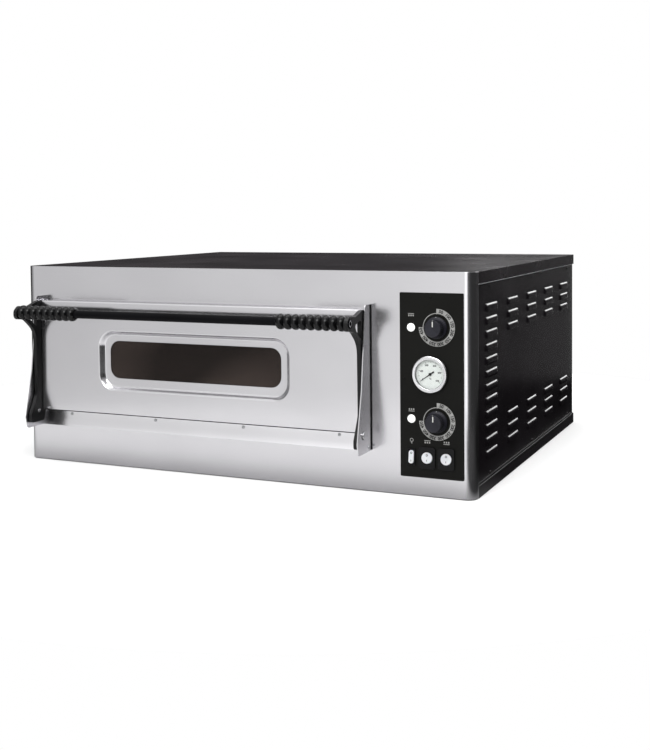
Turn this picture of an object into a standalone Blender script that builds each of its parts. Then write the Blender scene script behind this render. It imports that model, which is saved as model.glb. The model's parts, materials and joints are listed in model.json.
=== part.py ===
"""Single deck baking oven: sheet steel casing, lined chamber, drop-down door, thermostat panel.

Metres, +Z up.  The origin is the centre of the casing's underside, the front faces -Y
and +X is the viewer's right.
"""
import math

import bmesh
import bpy
from mathutils import Matrix, Vector

# ---------------------------------------------------------------- driving dimensions

WIDTH = 1.010
DEPTH = 0.850
HEIGHT = 0.420
SHEET = 0.0012           # casing sheet steel
GAP = 0.0003             # clearance between pieces that touch

FRONT = -DEPTH / 2       # plane of the steel front
REAR = DEPTH / 2
SIDE = WIDTH / 2
CORNER = 0.020           # radius of the two vertical front corners
WRAP = 0.0235            # how far the front sheet runs round each side
LIP = 0.0230             # folded edge of the top cover and of the base pan
SIDE_INSET = 0.0035      # side panels stand back from the folded edges

DOOR_CENTRE = -0.080     # the door is left of the middle, the controls are on the right
DOOR_HALF = 0.3692
DOOR_BOTTOM = 0.115
DOOR_TOP = 0.348
DOOR_FACE = FRONT - 0.025
DOOR_BACK = FRONT - 0.0025
PIVOT_Y = FRONT - 0.041  # door hinge axis
PIVOT_Z = 0.114
PIN_RADIUS = 0.004

MOUTH_HALF = 0.358       # opening in the front sheet
MOUTH_LOW = 0.157
MOUTH_HIGH = 0.303
CHAMBER_HALF = 0.360
CHAMBER_REAR = 0.315
FLOOR_PLATE = 0.1222     # underside of the chamber floor sheet
STONE_TOP = 0.160
STONE_THICK = 0.014
ELEMENT_RADIUS = 0.004
WOOL = 0.040             # insulation above, below and behind the chamber

WINDOW_HALF_X = 0.222    # outer edge of the pressed window frame
WINDOW_LOW = 0.163
WINDOW_HIGH = 0.290
WINDOW_DEPTH = 0.010
WINDOW_SLOPE = 0.008     # width of the frame's sloping wall
GLASS_HALF_X = 0.199     # visible glass
GLASS_LOW = 0.189
GLASS_HIGH = 0.2675

CHEEK_OUT = 0.381        # cheek's outer face, from the door's centre
CHEEK_SHEET = 0.002
ARM_OUT = 0.3775         # cast arm's outer face, from the door's centre
ARM_THICK = 0.008
BAR_Y = FRONT - 0.091
BAR_Z = 0.328
BAR_RADIUS = 0.0085
BAR_WALL = 0.0015
GRIP_RADIUS = 0.015
GRIP_NECK = 0.0112
BEAD_PITCH = 0.0155
BEADS = 9

PANEL_LEFT = 0.360       # black control panel
PANEL_RIGHT = 0.484
PANEL_LOW = 0.0355
PANEL_HIGH = 0.381
PANEL_FACE = FRONT - GAP - SHEET
KNOB_X = 0.4325
KNOB_Z = {"upper": 0.3167, "lower": 0.142}
LAMP_X = 0.3825
LAMP_Z = {"upper": 0.316, "lower": 0.145}
GAUGE_X = 0.420
GAUGE_Z = 0.230
SWITCH_Z = 0.0735
SWITCH_X = {"upper": 0.4133, "lower": 0.4505}
ROCKER_TILT = math.radians(8)
PARTITION = 0.335        # plate between the chamber's insulation and the controls

# ---------------------------------------------------------------- finishes

FINISHES = {             # colour, roughness, metallic
    "satin_steel": ((0.56, 0.55, 0.56), 0.32, 1.0),
    "bright_steel": ((0.72, 0.72, 0.73), 0.15, 1.0),
    "aluminised": ((0.45, 0.45, 0.46), 0.45, 1.0),
    "galvanised": ((0.50, 0.51, 0.52), 0.50, 1.0),
    "black_paint": ((0.020, 0.017, 0.019), 0.45, 0.0),
    "brown_black": ((0.050, 0.042, 0.048), 0.50, 0.0),
    "panel_black": ((0.013, 0.013, 0.012), 0.30, 0.0),
    "cast_black": ((0.010, 0.010, 0.011), 0.35, 0.2),
    "knob_black": ((0.020, 0.022, 0.027), 0.40, 0.0),
    "plastic_black": ((0.012, 0.012, 0.013), 0.20, 0.0),
    "white_plastic": ((0.85, 0.85, 0.84), 0.35, 0.0),
    "dial_white": ((0.88, 0.88, 0.86), 0.50, 0.0),
    "glass_clear": ((0.90, 0.92, 0.92), 0.05, 0.0),
    "glass_smoked": ((0.05, 0.04, 0.035), 0.08, 0.0),
    "lens_white": ((0.90, 0.90, 0.88), 0.15, 0.0),
    "stone": ((0.62, 0.55, 0.44), 0.90, 0.0),
    "wool": ((0.72, 0.70, 0.62), 1.00, 0.0),
    "element": ((0.11, 0.10, 0.10), 0.55, 0.9),
    "grey_plastic": ((0.25, 0.26, 0.27), 0.50, 0.0),
}

# ---------------------------------------------------------------- scene and collections

for old in list(bpy.data.objects):
    bpy.data.objects.remove(old)

OVEN = bpy.data.collections.new("deck_oven")
CUTTERS = bpy.data.collections.new("cutters")
for group in (OVEN, CUTTERS):
    bpy.context.scene.collection.children.link(group)

# local plane of a flat outline or a turned piece -> world
TO_FRONT = Matrix.Rotation(math.pi / 2, 4, "X")                  # u = X, v = Z, out = -Y
TO_REAR = Matrix.Rotation(-math.pi / 2, 4, "X")                  # out = +Y
TO_SIDE = Matrix(((0, 0, 1, 0), (1, 0, 0, 0), (0, 1, 0, 0), (0, 0, 0, 1)))  # u = Y, v = Z, out = +X


def at(x, y, z, turn=Matrix.Identity(4)):
    """Placement: turned first, then moved to a point."""
    return Matrix.Translation((x, y, z)) @ turn


def keep_in(piece, collection):
    """Leave an object in one collection only."""
    for holder in list(piece.users_collection):
        holder.objects.unlink(piece)
    collection.objects.link(piece)


def finish(piece, name, finish_name):
    """Name a finished sub-part, give it its own material and file it under the oven."""
    piece.name = name
    piece.data.name = name
    keep_in(piece, OVEN)
    colour, roughness, metallic = FINISHES[finish_name]
    material = bpy.data.materials.new(name)
    material.use_nodes = True
    shader = material.node_tree.nodes["Principled BSDF"]
    shader.inputs["Base Color"].default_value = (*colour, 1)
    shader.inputs["Roughness"].default_value = roughness
    shader.inputs["Metallic"].default_value = metallic
    piece.data.materials.clear()
    piece.data.materials.append(material)
    piece.data.shade_smooth()
    piece.data.set_sharp_from_angle(angle=math.radians(30))
    return piece


# ---------------------------------------------------------------- shapes


def box(low, high):
    """Rectangular block between two corners."""
    low = Vector(low)
    high = Vector(high)
    bpy.ops.mesh.primitive_cube_add(size=1, location=(low + high) / 2)
    piece = bpy.context.object
    piece.data.transform(Matrix.Diagonal((*(high - low), 1)))
    return piece


def rod(radius, length, place, sides=24):
    """Cylinder centred on its placement, along the placement's local Z."""
    bpy.ops.mesh.primitive_cylinder_add(vertices=sides, radius=radius, depth=length)
    piece = bpy.context.object
    piece.matrix_world = place
    return piece


def rounded(corners, segments=5):
    """Closed outline through (u, v, radius) corners, each corner turned into an arc."""
    points = []
    for index, (u, v, radius) in enumerate(corners):
        here = Vector((u, v))
        if radius == 0:
            points.append(here)
            continue
        before = (Vector(corners[index - 1][:2]) - here).normalized()
        after = (Vector(corners[(index + 1) % len(corners)][:2]) - here).normalized()
        half_angle = before.angle(after) / 2
        middle = here + (before + after).normalized() * radius / math.sin(half_angle)
        reach = radius / math.tan(half_angle)
        start = here + before * reach - middle
        end = here + after * reach - middle
        first = math.atan2(start.y, start.x)
        turn = (math.atan2(end.y, end.x) - first + math.pi) % math.tau - math.pi
        for step in range(segments + 1):
            angle = first + turn * step / segments
            points.append(middle + radius * Vector((math.cos(angle), math.sin(angle))))
    return points


def rectangle(left, right, low, high, radius=0.0, segments=5):
    """Closed outline of a rectangle with equal corner radii."""
    corners = ((left, low), (right, low), (right, high), (left, high))
    return rounded([(u, v, radius) for u, v in corners], segments)


def circle(u, v, radius, sides=24):
    """Closed outline of a circle."""
    steps = (math.tau * step / sides for step in range(sides))
    return [Vector((u + radius * math.cos(a), v + radius * math.sin(a))) for a in steps]


def solid_from(curve_object):
    """Mesh copy of a curve object, with its loose caps welded on."""
    bpy.context.view_layer.update()
    evaluated = curve_object.evaluated_get(bpy.context.evaluated_depsgraph_get())
    mesh = bpy.data.meshes.new_from_object(evaluated)
    work = bmesh.new()
    work.from_mesh(mesh)
    bmesh.ops.remove_doubles(work, verts=work.verts, dist=0.00001)
    work.to_mesh(mesh)
    work.free()
    piece = bpy.data.objects.new(curve_object.name, mesh)
    piece.matrix_world = curve_object.matrix_world
    OVEN.objects.link(piece)
    bpy.data.objects.remove(curve_object)
    return piece


def flat(loops, thickness, place):
    """Plate cut to an outer loop and its hole loops, centred on the placement's plane."""
    curve = bpy.data.curves.new("outline", "CURVE")
    curve.dimensions = "2D"
    curve.fill_mode = "BOTH"
    curve.extrude = thickness / 2
    for loop in loops:
        spline = curve.splines.new("POLY")
        spline.points.add(len(loop) - 1)
        for point, (u, v) in zip(spline.points, loop):
            point.co = (u, v, 0, 1)
        spline.use_cyclic_u = True
    outline = bpy.data.objects.new("outline", curve)
    outline.matrix_world = place
    OVEN.objects.link(outline)
    return solid_from(outline)


def turned(profile, place, steps=24):
    """Profile of (radius, height) spun round local Z; a bored piece has a closed profile."""
    mesh = bpy.data.meshes.new("profile")
    work = bmesh.new()
    corners = [work.verts.new((radius, 0, height)) for radius, height in profile]
    for first, second in zip(corners, corners[1:]):
        work.edges.new((first, second))
    if profile[0][0] > 0:
        work.edges.new((corners[-1], corners[0]))
    work.to_mesh(mesh)
    work.free()
    piece = bpy.data.objects.new("turned", mesh)
    piece.matrix_world = place
    OVEN.objects.link(piece)
    screw = piece.modifiers.new("turn", "SCREW")
    screw.steps = steps
    screw.render_steps = steps
    screw.use_merge_vertices = True
    screw.merge_threshold = 0.00001
    return piece


def tube(points, radius, name):
    """Round bar along a path of straight pieces."""
    curve = bpy.data.curves.new(name, "CURVE")
    curve.dimensions = "3D"
    curve.bevel_depth = radius
    curve.bevel_resolution = 2
    curve.use_fill_caps = True
    spline = curve.splines.new("POLY")
    spline.points.add(len(points) - 1)
    for point, place in zip(spline.points, points):
        point.co = (*place, 1)
    bar = bpy.data.objects.new(name, curve)
    OVEN.objects.link(bar)
    return solid_from(bar)


def frustum(near, far, depth, place):
    """Solid lofted between two outlines with equal point counts, depth apart."""
    mesh = bpy.data.meshes.new("frustum")
    work = bmesh.new()
    front = [work.verts.new((u, v, 0)) for u, v in near]
    back = [work.verts.new((u, v, -depth)) for u, v in far]
    work.faces.new(front)
    work.faces.new(list(reversed(back)))
    for index in range(len(front)):
        after = (index + 1) % len(front)
        work.faces.new((front[index], back[index], back[after], front[after]))
    bmesh.ops.recalc_face_normals(work, faces=work.faces)
    work.to_mesh(mesh)
    work.free()
    piece = bpy.data.objects.new("frustum", mesh)
    piece.matrix_world = place
    OVEN.objects.link(piece)
    return piece


def combine(piece, tool, operation="DIFFERENCE"):
    """Cut a piece with a tool, or join the tool to it."""
    tool.name = "cutter"
    keep_in(tool, CUTTERS)
    tool.hide_render = True
    tool.display_type = "WIRE"
    change = piece.modifiers.new("cut", "BOOLEAN")
    change.object = tool
    change.operation = operation
    change.solver = "EXACT"
    return piece


def pivot(name, x, y, z):
    """Empty on a joint's axis."""
    empty = bpy.data.objects.new(name, None)
    empty.location = (x, y, z)
    empty.empty_display_size = 0.03
    OVEN.objects.link(empty)
    return empty


def hang_on(empty, *pieces):
    """Parent moving pieces to their joint's empty and leave them where they are."""
    for piece in pieces:
        piece.parent = empty
        piece.matrix_parent_inverse = Matrix.Translation(empty.location).inverted()


# ---------------------------------------------------------------- casing


def folded_outline(front_inset):
    """Plan of the top cover or base pan: inside the front sheet, then out to full width."""
    inner = SIDE - front_inset
    nose = FRONT + front_inset
    step = FRONT + WRAP + GAP
    shoulder = step + 0.0005
    right = [(inner, step, 0), (SIDE, shoulder, 0), (SIDE, REAR, 0.003)]
    left = [(-SIDE, REAR, 0.003), (-SIDE, shoulder, 0), (-inner, step, 0)]
    tip = CORNER - front_inset
    front = [(-inner, nose, tip), (inner, nose, tip)]
    return rounded(front + right + left)


def folded_tray(name, plate_low, plate_high, lip_low, lip_high, finish_name):
    """Sheet with its two sides and its rear edge folded, open to the front."""
    middle = (min(plate_low, lip_low) + max(plate_high, lip_high)) / 2
    height = max(plate_high, lip_high) - min(plate_low, lip_low)
    tray = flat([folded_outline(SHEET + GAP)], height, at(0, 0, middle))
    past = 0.010
    inside_low = plate_high if plate_low < lip_high - height / 2 else lip_low - past
    inside_high = lip_high + past if inside_low == plate_high else plate_low
    wall = SIDE - SHEET
    hollow = box((-wall, FRONT - past, inside_low), (wall, REAR - SHEET, inside_high))
    combine(tray, hollow)
    return finish(tray, name, finish_name)


def casing():
    """Front sheet, folded cover and pan, side, rear and partition plates."""
    folded_tray("base_pan", 0, SHEET, 0, LIP, "black_paint")
    folded_tray("top_cover", HEIGHT - SHEET, HEIGHT, HEIGHT - LIP, HEIGHT, "brown_black")

    end = FRONT + WRAP
    inner = SIDE - SHEET
    outside = [(-SIDE, end, 0), (-SIDE, FRONT, CORNER), (SIDE, FRONT, CORNER), (SIDE, end, 0)]
    bend = CORNER - SHEET
    inside = [(inner, end, 0), (inner, FRONT + SHEET, bend),
              (-inner, FRONT + SHEET, bend), (-inner, end, 0)]
    low = 0.001
    front = flat([rounded(outside + inside, 10)], HEIGHT - low, at(0, 0, (HEIGHT + low) / 2))
    past = 0.010
    mouth = box((DOOR_CENTRE - MOUTH_HALF, FRONT - past, MOUTH_LOW),
                (DOOR_CENTRE + MOUTH_HALF, FRONT + past, MOUTH_HIGH))
    combine(front, mouth)
    rim = 0.012
    controls = box((PANEL_LEFT + rim, FRONT - past, PANEL_LOW + rim),
                   (PANEL_RIGHT - rim, FRONT + past, PANEL_HIGH - rim))
    combine(front, controls)
    finish(front, "front_panel", "satin_steel")

    plate = SIDE - SIDE_INSET
    start = FRONT + WRAP + GAP
    side_low = LIP + GAP
    side_high = HEIGHT - LIP - GAP
    for side, sign in (("right", 1), ("left", -1)):
        x_range = sorted((sign * plate, sign * (plate - SHEET)))
        panel = box((x_range[0], start, side_low), (x_range[1], REAR - SHEET - GAP, side_high))
        finish(panel, f"side_panel_{side}", "black_paint")

    wall = plate - SHEET - GAP
    back = box((-wall, REAR - SHEET - GAP - SHEET, SHEET + GAP),
               (wall, REAR - SHEET - GAP, HEIGHT - SHEET - GAP))
    gland_hole = rod(GLAND_RADIUS + GAP, 0.02, at(GLAND_X, REAR, GLAND_Z, TO_REAR))
    combine(back, gland_hole)
    finish(back, "rear_panel", "galvanised")

    divider = box((PARTITION, FRONT + SHEET + GAP, SHEET + GAP),
                  (PARTITION + SHEET, REAR - 2 * SHEET - 2 * GAP, HEIGHT - SHEET - GAP))
    cut_element_holes(divider)
    finish(divider, "partition_plate", "galvanised")


# ---------------------------------------------------------------- chamber

ELEMENT_LEGS = 8
ELEMENT_PITCH = 0.090
ELEMENT_FIRST = -0.350
ELEMENT_LEFT = DOOR_CENTRE - 0.330
ELEMENT_RIGHT = DOOR_CENTRE + 0.310
ELEMENT_END = 0.350
ELEMENT_Z = {"upper": 0.2915, "lower": 0.1305}
LAMP_Y = 0.200
LAMP_HEIGHT = 0.235
LAMP_RADIUS = 0.020
GLAND_X = 0.430
GLAND_Z = 0.060
GLAND_RADIUS = 0.010


def cut_element_holes(plate):
    """Holes for the two ends of each heating element, through one upright plate."""
    last = ELEMENT_FIRST + (ELEMENT_LEGS - 1) * ELEMENT_PITCH
    for height in ELEMENT_Z.values():
        for y in (ELEMENT_FIRST, last):
            hole = rod(ELEMENT_RADIUS + 0.001, 0.2, at(0.31, y, height, TO_SIDE), 12)
            combine(plate, hole)


def chamber():
    """Sheet lining, stone deck on its rack, heating elements and insulation slabs."""
    left = DOOR_CENTRE - CHAMBER_HALF
    right = DOOR_CENTRE + CHAMBER_HALF
    start = FRONT + SHEET + GAP
    end = CHAMBER_REAR + SHEET
    ceiling = MOUTH_HIGH + 0.0005
    roof = ceiling + SHEET
    side = box((left - SHEET, start, FLOOR_PLATE), (left, end, roof))
    finish(side, "chamber_side_left", "aluminised")
    side = box((right, start, FLOOR_PLATE), (right + SHEET, end, roof))
    cut_element_holes(side)
    combine(side, rod(LAMP_RADIUS + GAP, 0.01, at(right, LAMP_Y, LAMP_HEIGHT, TO_SIDE)))
    finish(side, "chamber_side_right", "aluminised")
    for name, low, high in (("ceiling", ceiling, roof),
                            ("floor", FLOOR_PLATE, FLOOR_PLATE + SHEET)):
        plate = box((left + GAP, start, low), (right - GAP, CHAMBER_REAR - GAP, high))
        finish(plate, f"chamber_{name}", "aluminised")
    plate = box((left + GAP, CHAMBER_REAR, FLOOR_PLATE), (right - GAP, end, roof))
    finish(plate, "chamber_rear", "aluminised")

    stone_low = STONE_TOP - STONE_THICK
    stone_front = FRONT + 0.006
    stone_rear = CHAMBER_REAR - 0.003
    edge = 0.002
    for name, x_low, x_high in (("left", left + edge, DOOR_CENTRE - edge / 2),
                                ("right", DOOR_CENTRE + edge / 2, right - edge)):
        stone = box((x_low, stone_front, stone_low), (x_high, stone_rear, STONE_TOP))
        finish(stone, f"stone_{name}", "stone")

    rack_high = stone_low - GAP
    rack_low = rack_high - 0.005
    rail = 0.012
    ends = (stone_front, stone_rear)
    rack_outline = rectangle(left + GAP, right - GAP, ends[0], ends[1])
    bars = 6
    pitch = (2 * CHAMBER_HALF - rail) / bars
    bays = []
    for bay in range(bars):
        x = left + rail + bay * pitch
        bays.append(rectangle(x, x + pitch - rail, ends[0] + rail, ends[1] - rail))
    middle = (rack_low + rack_high) / 2
    rack = flat([rack_outline] + bays, rack_high - rack_low, at(0, 0, middle))
    finish(rack, "stone_rack", "galvanised")

    for name, height in ELEMENT_Z.items():
        finish(tube(element_path(height), ELEMENT_RADIUS, "element"),
               f"element_{name}", "element")

    insulation(left, right, start, end, roof)
    lamp = turned(((0, 0.003), (LAMP_RADIUS + 0.004, 0.002), (LAMP_RADIUS + 0.004, GAP),
                   (LAMP_RADIUS, GAP), (LAMP_RADIUS, -0.040), (0, -0.040)),
                  at(right, LAMP_Y, LAMP_HEIGHT, TO_SIDE @ Matrix.Rotation(math.pi, 4, "X")))
    finish(lamp, "chamber_lamp", "glass_clear")


def element_path(height):
    """Points of a snaking element: straight legs along X joined by half circles."""
    bend = ELEMENT_PITCH / 2
    steps = 6
    points = [(ELEMENT_END, ELEMENT_FIRST, height)]
    for leg in range(ELEMENT_LEGS - 1):
        y = ELEMENT_FIRST + leg * ELEMENT_PITCH
        outward = -1 if leg % 2 == 0 else 1
        centre = ELEMENT_LEFT + bend if outward < 0 else ELEMENT_RIGHT - bend
        for step in range(steps + 1):
            angle = math.pi * step / steps
            x = centre + outward * bend * math.sin(angle)
            points.append((x, y + bend - bend * math.cos(angle), height))
    last = ELEMENT_FIRST + (ELEMENT_LEGS - 1) * ELEMENT_PITCH
    points.append((ELEMENT_END, last, height))
    return points


def insulation(left, right, start, end, roof):
    """Mineral wool slabs on all sides of the chamber but the mouth."""
    floor = FLOOR_PLATE - GAP - WOOL
    top = roof + GAP + WOOL
    rear = end + GAP + WOOL
    wall = SIDE - SIDE_INSET - SHEET - 0.003
    inner_left = left - SHEET - GAP
    inner_right = right + SHEET + GAP
    slabs = {
        "left": ((-wall, FRONT + WRAP, floor), (inner_left, rear, top)),
        "right": ((inner_right, start, floor), (PARTITION - GAP, rear, top)),
        "rear": ((inner_left + GAP, end + GAP, floor), (inner_right - GAP, rear, top)),
        "top": ((inner_left + GAP, start, roof + GAP), (inner_right - GAP, end, top)),
        "bottom": ((inner_left + GAP, start, floor), (inner_right - GAP, end, FLOOR_PLATE - GAP)),
    }
    for name, (low, high) in slabs.items():
        slab = box(low, high)
        if name == "right":
            cut_element_holes(slab)
            hole = rod(LAMP_RADIUS + GAP, 0.12, at(right + 0.02, LAMP_Y, LAMP_HEIGHT, TO_SIDE))
            combine(slab, hole)
        finish(slab, f"insulation_{name}", "wool")


# ---------------------------------------------------------------- door and its fittings


def mirrored(x_from_centre, sign):
    """World x of a distance from the door's centre line."""
    return DOOR_CENTRE + sign * x_from_centre


def cheeks():
    """Fixed side cheeks that carry the door's hinge pins, and the strip below the door."""
    foot = FRONT - GAP
    outline = rounded([(foot, 0.079, 0), (foot, 0.357, 0), (FRONT - 0.027, 0.357, 0.006),
                       (FRONT - 0.046, 0.200, 0.080), (FRONT - 0.069, 0.102, 0.010),
                       (FRONT - 0.064, 0.079, 0.008)])
    hole = circle(PIVOT_Y, PIVOT_Z, PIN_RADIUS + GAP)
    flange = 0.010
    for side, sign in (("right", 1), ("left", -1)):
        middle = mirrored(CHEEK_OUT - CHEEK_SHEET / 2, sign)
        cheek = flat([outline, hole], CHEEK_SHEET, at(middle, 0, 0, TO_SIDE))
        edges = sorted((mirrored(CHEEK_OUT - flange, sign),
                        mirrored(CHEEK_OUT - CHEEK_SHEET / 2, sign)))
        fold = box((edges[0], foot - 0.0014, DOOR_BOTTOM + 0.003), (edges[1], foot, 0.355))
        combine(cheek, fold, "UNION")
        finish(cheek, f"cheek_{side}", "satin_steel")

        shank_end = ARM_OUT - ARM_THICK - 0.004
        head = 0.003
        head_face = CHEEK_OUT + GAP + head
        profile = ((0, head_face), (0.0050, head_face), (0.0065, head_face - 0.0008),
                   (0.0065, CHEEK_OUT + GAP), (PIN_RADIUS, CHEEK_OUT + GAP),
                   (PIN_RADIUS, shank_end), (0, shank_end))
        turn = TO_SIDE if sign > 0 else TO_SIDE @ Matrix.Rotation(math.pi, 4, "X")
        pin = turned(profile, at(DOOR_CENTRE, PIVOT_Y, PIVOT_Z, turn))
        finish(pin, f"hinge_pin_{side}", "bright_steel")

    strip_top = 0.1125
    bend = 0.096
    low = 0.0785
    out = FRONT - 0.008
    strip = rounded([(foot, strip_top, 0), (foot, bend, 0), (out + SHEET, low, 0),
                     (out, low, 0), (foot - SHEET, bend + 0.0005, 0),
                     (foot - SHEET, strip_top, 0)])
    length = 2 * (CHEEK_OUT - CHEEK_SHEET - GAP)
    piece = flat([strip], length, at(DOOR_CENTRE, 0, 0, TO_SIDE))
    finish(piece, "sill_strip", "satin_steel")


def door(hinge):
    """Steel door with its window, cast arms, handle bar and grips."""
    left = DOOR_CENTRE - DOOR_HALF
    right = DOOR_CENTRE + DOOR_HALF
    skin = box((left, DOOR_FACE, DOOR_BOTTOM), (right, DOOR_BACK, DOOR_TOP))
    inside = box((left + SHEET, DOOR_FACE + SHEET, DOOR_BOTTOM + SHEET),
                 (right - SHEET, DOOR_BACK + 0.010, DOOR_TOP - SHEET))
    combine(skin, inside)
    rim = SHEET
    radius = 0.035
    arc = 6
    window = (DOOR_CENTRE - WINDOW_HALF_X, DOOR_CENTRE + WINDOW_HALF_X, WINDOW_LOW, WINDOW_HIGH)
    grown = (window[0] - rim, window[1] + rim, window[2] - rim, window[3] + rim)
    depth = WINDOW_DEPTH + SHEET
    frame = flat([rectangle(*grown, radius + rim, arc)], depth,
                 at(0, DOOR_FACE + depth / 2 + 0.0005, 0, TO_FRONT))
    combine(skin, frame, "UNION")
    slope = WINDOW_SLOPE
    past = 0.001
    shrunk = (window[0] + slope, window[1] - slope, window[2] + slope, window[3] - slope)
    spread = slope * past / WINDOW_DEPTH
    mouth = (window[0] - spread, window[1] + spread, window[2] - spread, window[3] + spread)
    press = frustum(rectangle(*mouth, radius + spread, arc), rectangle(*shrunk, radius - slope, arc),
                    WINDOW_DEPTH + past, at(0, DOOR_FACE - past, 0, TO_FRONT))
    combine(skin, press)
    opening = rectangle(DOOR_CENTRE - GLASS_HALF_X, DOOR_CENTRE + GLASS_HALF_X,
                        GLASS_LOW, GLASS_HIGH, 0.022, arc)
    combine(skin, flat([opening], 0.06, at(0, DOOR_FACE, 0, TO_FRONT)))
    finish(skin, "door_skin", "satin_steel")

    clear = 0.004
    plug_face = FRONT + 0.005
    edge = SHEET + GAP
    inner = box((left + edge, DOOR_BACK - SHEET, DOOR_BOTTOM + edge),
                (right - edge, DOOR_BACK, DOOR_TOP - edge))
    plug_half = MOUTH_HALF - clear
    plug = box((DOOR_CENTRE - plug_half, DOOR_BACK - SHEET / 2, MOUTH_LOW + clear),
               (DOOR_CENTRE + plug_half, plug_face, MOUTH_HIGH - clear))
    combine(inner, plug, "UNION")
    hollow = box((DOOR_CENTRE - plug_half + SHEET, DOOR_BACK - 0.010, MOUTH_LOW + clear + SHEET),
                 (DOOR_CENTRE + plug_half - SHEET, plug_face - SHEET, MOUTH_HIGH - clear - SHEET))
    combine(inner, hollow)
    combine(inner, flat([opening], 0.06, at(0, FRONT, 0, TO_FRONT)))
    finish(inner, "door_inner_panel", "bright_steel")

    margin = 0.010
    pane = rectangle(DOOR_CENTRE - GLASS_HALF_X - margin, DOOR_CENTRE + GLASS_HALF_X + margin,
                     GLASS_LOW - margin, GLASS_HIGH + margin, 0.006, 2)
    glass = 0.004
    seat = DOOR_FACE + depth + 0.0005 + GAP
    outer = flat([pane], glass, at(0, seat + glass / 2, 0, TO_FRONT))
    finish(outer, "window_glass_outer", "glass_smoked")
    seat = plug_face - SHEET - GAP - glass / 2
    inner_pane = flat([pane], glass, at(0, seat, 0, TO_FRONT))
    finish(inner_pane, "window_glass_inner", "glass_clear")

    moving = [skin, inner, outer, inner_pane]
    for side, sign in (("right", 1), ("left", -1)):
        moving.append(cast_arm(side, sign))
        moving.append(grip(side, sign))
    wall = BAR_RADIUS - BAR_WALL
    half = ARM_OUT + 0.001
    profile = ((wall, half), (BAR_RADIUS, half), (BAR_RADIUS, -half), (wall, -half))
    bar = turned(profile, at(DOOR_CENTRE, BAR_Y, BAR_Z, TO_SIDE), 16)
    moving.append(finish(bar, "handle_bar", "cast_black"))
    hang_on(hinge, *moving)


def cast_arm(side, sign):
    """Cast arm: pivot foot, stem, and a fork that carries the handle bar."""
    boss = 0.0135
    back = FRONT - 0.015
    outline = rounded([
        (back, 0.348, 0.003), (FRONT - 0.034, 0.348, 0.004), (FRONT - 0.066, 0.338, 0.030),
        (BAR_Y - 0.002, BAR_Z + boss, 0.012), (BAR_Y - boss, BAR_Z + 0.004, 0.010),
        (BAR_Y - boss, BAR_Z - boss, 0.010), (BAR_Y + 0.015, BAR_Z - boss - 0.003, 0.020),
        (FRONT - 0.042, 0.284, 0.040), (FRONT - 0.040, 0.150, 0.030),
        (FRONT - 0.062, 0.107, 0.010), (FRONT - 0.062, 0.090, 0.006),
        (FRONT - 0.020, 0.090, 0.006), (FRONT - 0.012, 0.120, 0.015), (back, 0.140, 0.030)], 4)
    fork_gap = rounded([(FRONT - 0.039, 0.331, 0.003), (FRONT - 0.068, 0.323, 0.004),
                        (FRONT - 0.062, 0.312, 0.006), (FRONT - 0.039, 0.292, 0.003)], 3)
    pin_hole = circle(PIVOT_Y, PIVOT_Z, PIN_RADIUS + GAP)
    bar_hole = circle(BAR_Y, BAR_Z, BAR_RADIUS + GAP)
    middle = mirrored(ARM_OUT - ARM_THICK / 2, sign)
    arm = flat([outline, fork_gap, pin_hole, bar_hole], ARM_THICK, at(middle, 0, 0, TO_SIDE))
    return finish(arm, f"arm_{side}", "cast_black")


def grip(side, sign):
    """Beaded hand grip, slid on the bar next to its arm."""
    bore = BAR_RADIUS + GAP
    profile = []
    for bead in range(BEADS):
        middle = -(bead + 0.5) * BEAD_PITCH
        for side_step in (1, -1):
            profile.append((GRIP_RADIUS, middle + side_step * BEAD_PITCH * 0.18))
        profile.append((GRIP_NECK, middle - BEAD_PITCH / 2))
    length = BEADS * BEAD_PITCH
    profile.insert(0, (GRIP_NECK, 0))
    profile += [(bore, -length), (bore, 0)]
    outer_end = ARM_OUT - ARM_THICK - GAP
    turn = TO_SIDE if sign > 0 else TO_SIDE @ Matrix.Rotation(math.pi, 4, "X")
    piece = turned(profile, at(mirrored(outer_end, sign), BAR_Y, BAR_Z, turn), 16)
    return finish(piece, f"grip_{side}", "cast_black")


# ---------------------------------------------------------------- control panel


def control_panel():
    """Black panel plate with the holes for everything that it carries."""
    edge = rectangle(PANEL_LEFT, PANEL_RIGHT, PANEL_LOW, PANEL_HIGH, 0.002, 2)
    holes = [circle(GAUGE_X, GAUGE_Z, 0.0305)]
    for level in ("upper", "lower"):
        holes.append(circle(KNOB_X, KNOB_Z[level], 0.0043))
        holes.append(circle(LAMP_X, LAMP_Z[level], 0.0063, 16))
        x = SWITCH_X[level]
        holes.append(rectangle(x - 0.0143, x + 0.0143, SWITCH_Z - 0.0183, SWITCH_Z + 0.0183))
    holes.append(rectangle(LAMP_X - 0.0063, LAMP_X + 0.0063, SWITCH_Z - 0.0143, SWITCH_Z + 0.0143))
    plate = flat([edge] + holes, SHEET, at(0, PANEL_FACE + SHEET / 2, 0, TO_FRONT))
    finish(plate, "control_panel", "panel_black")


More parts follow.
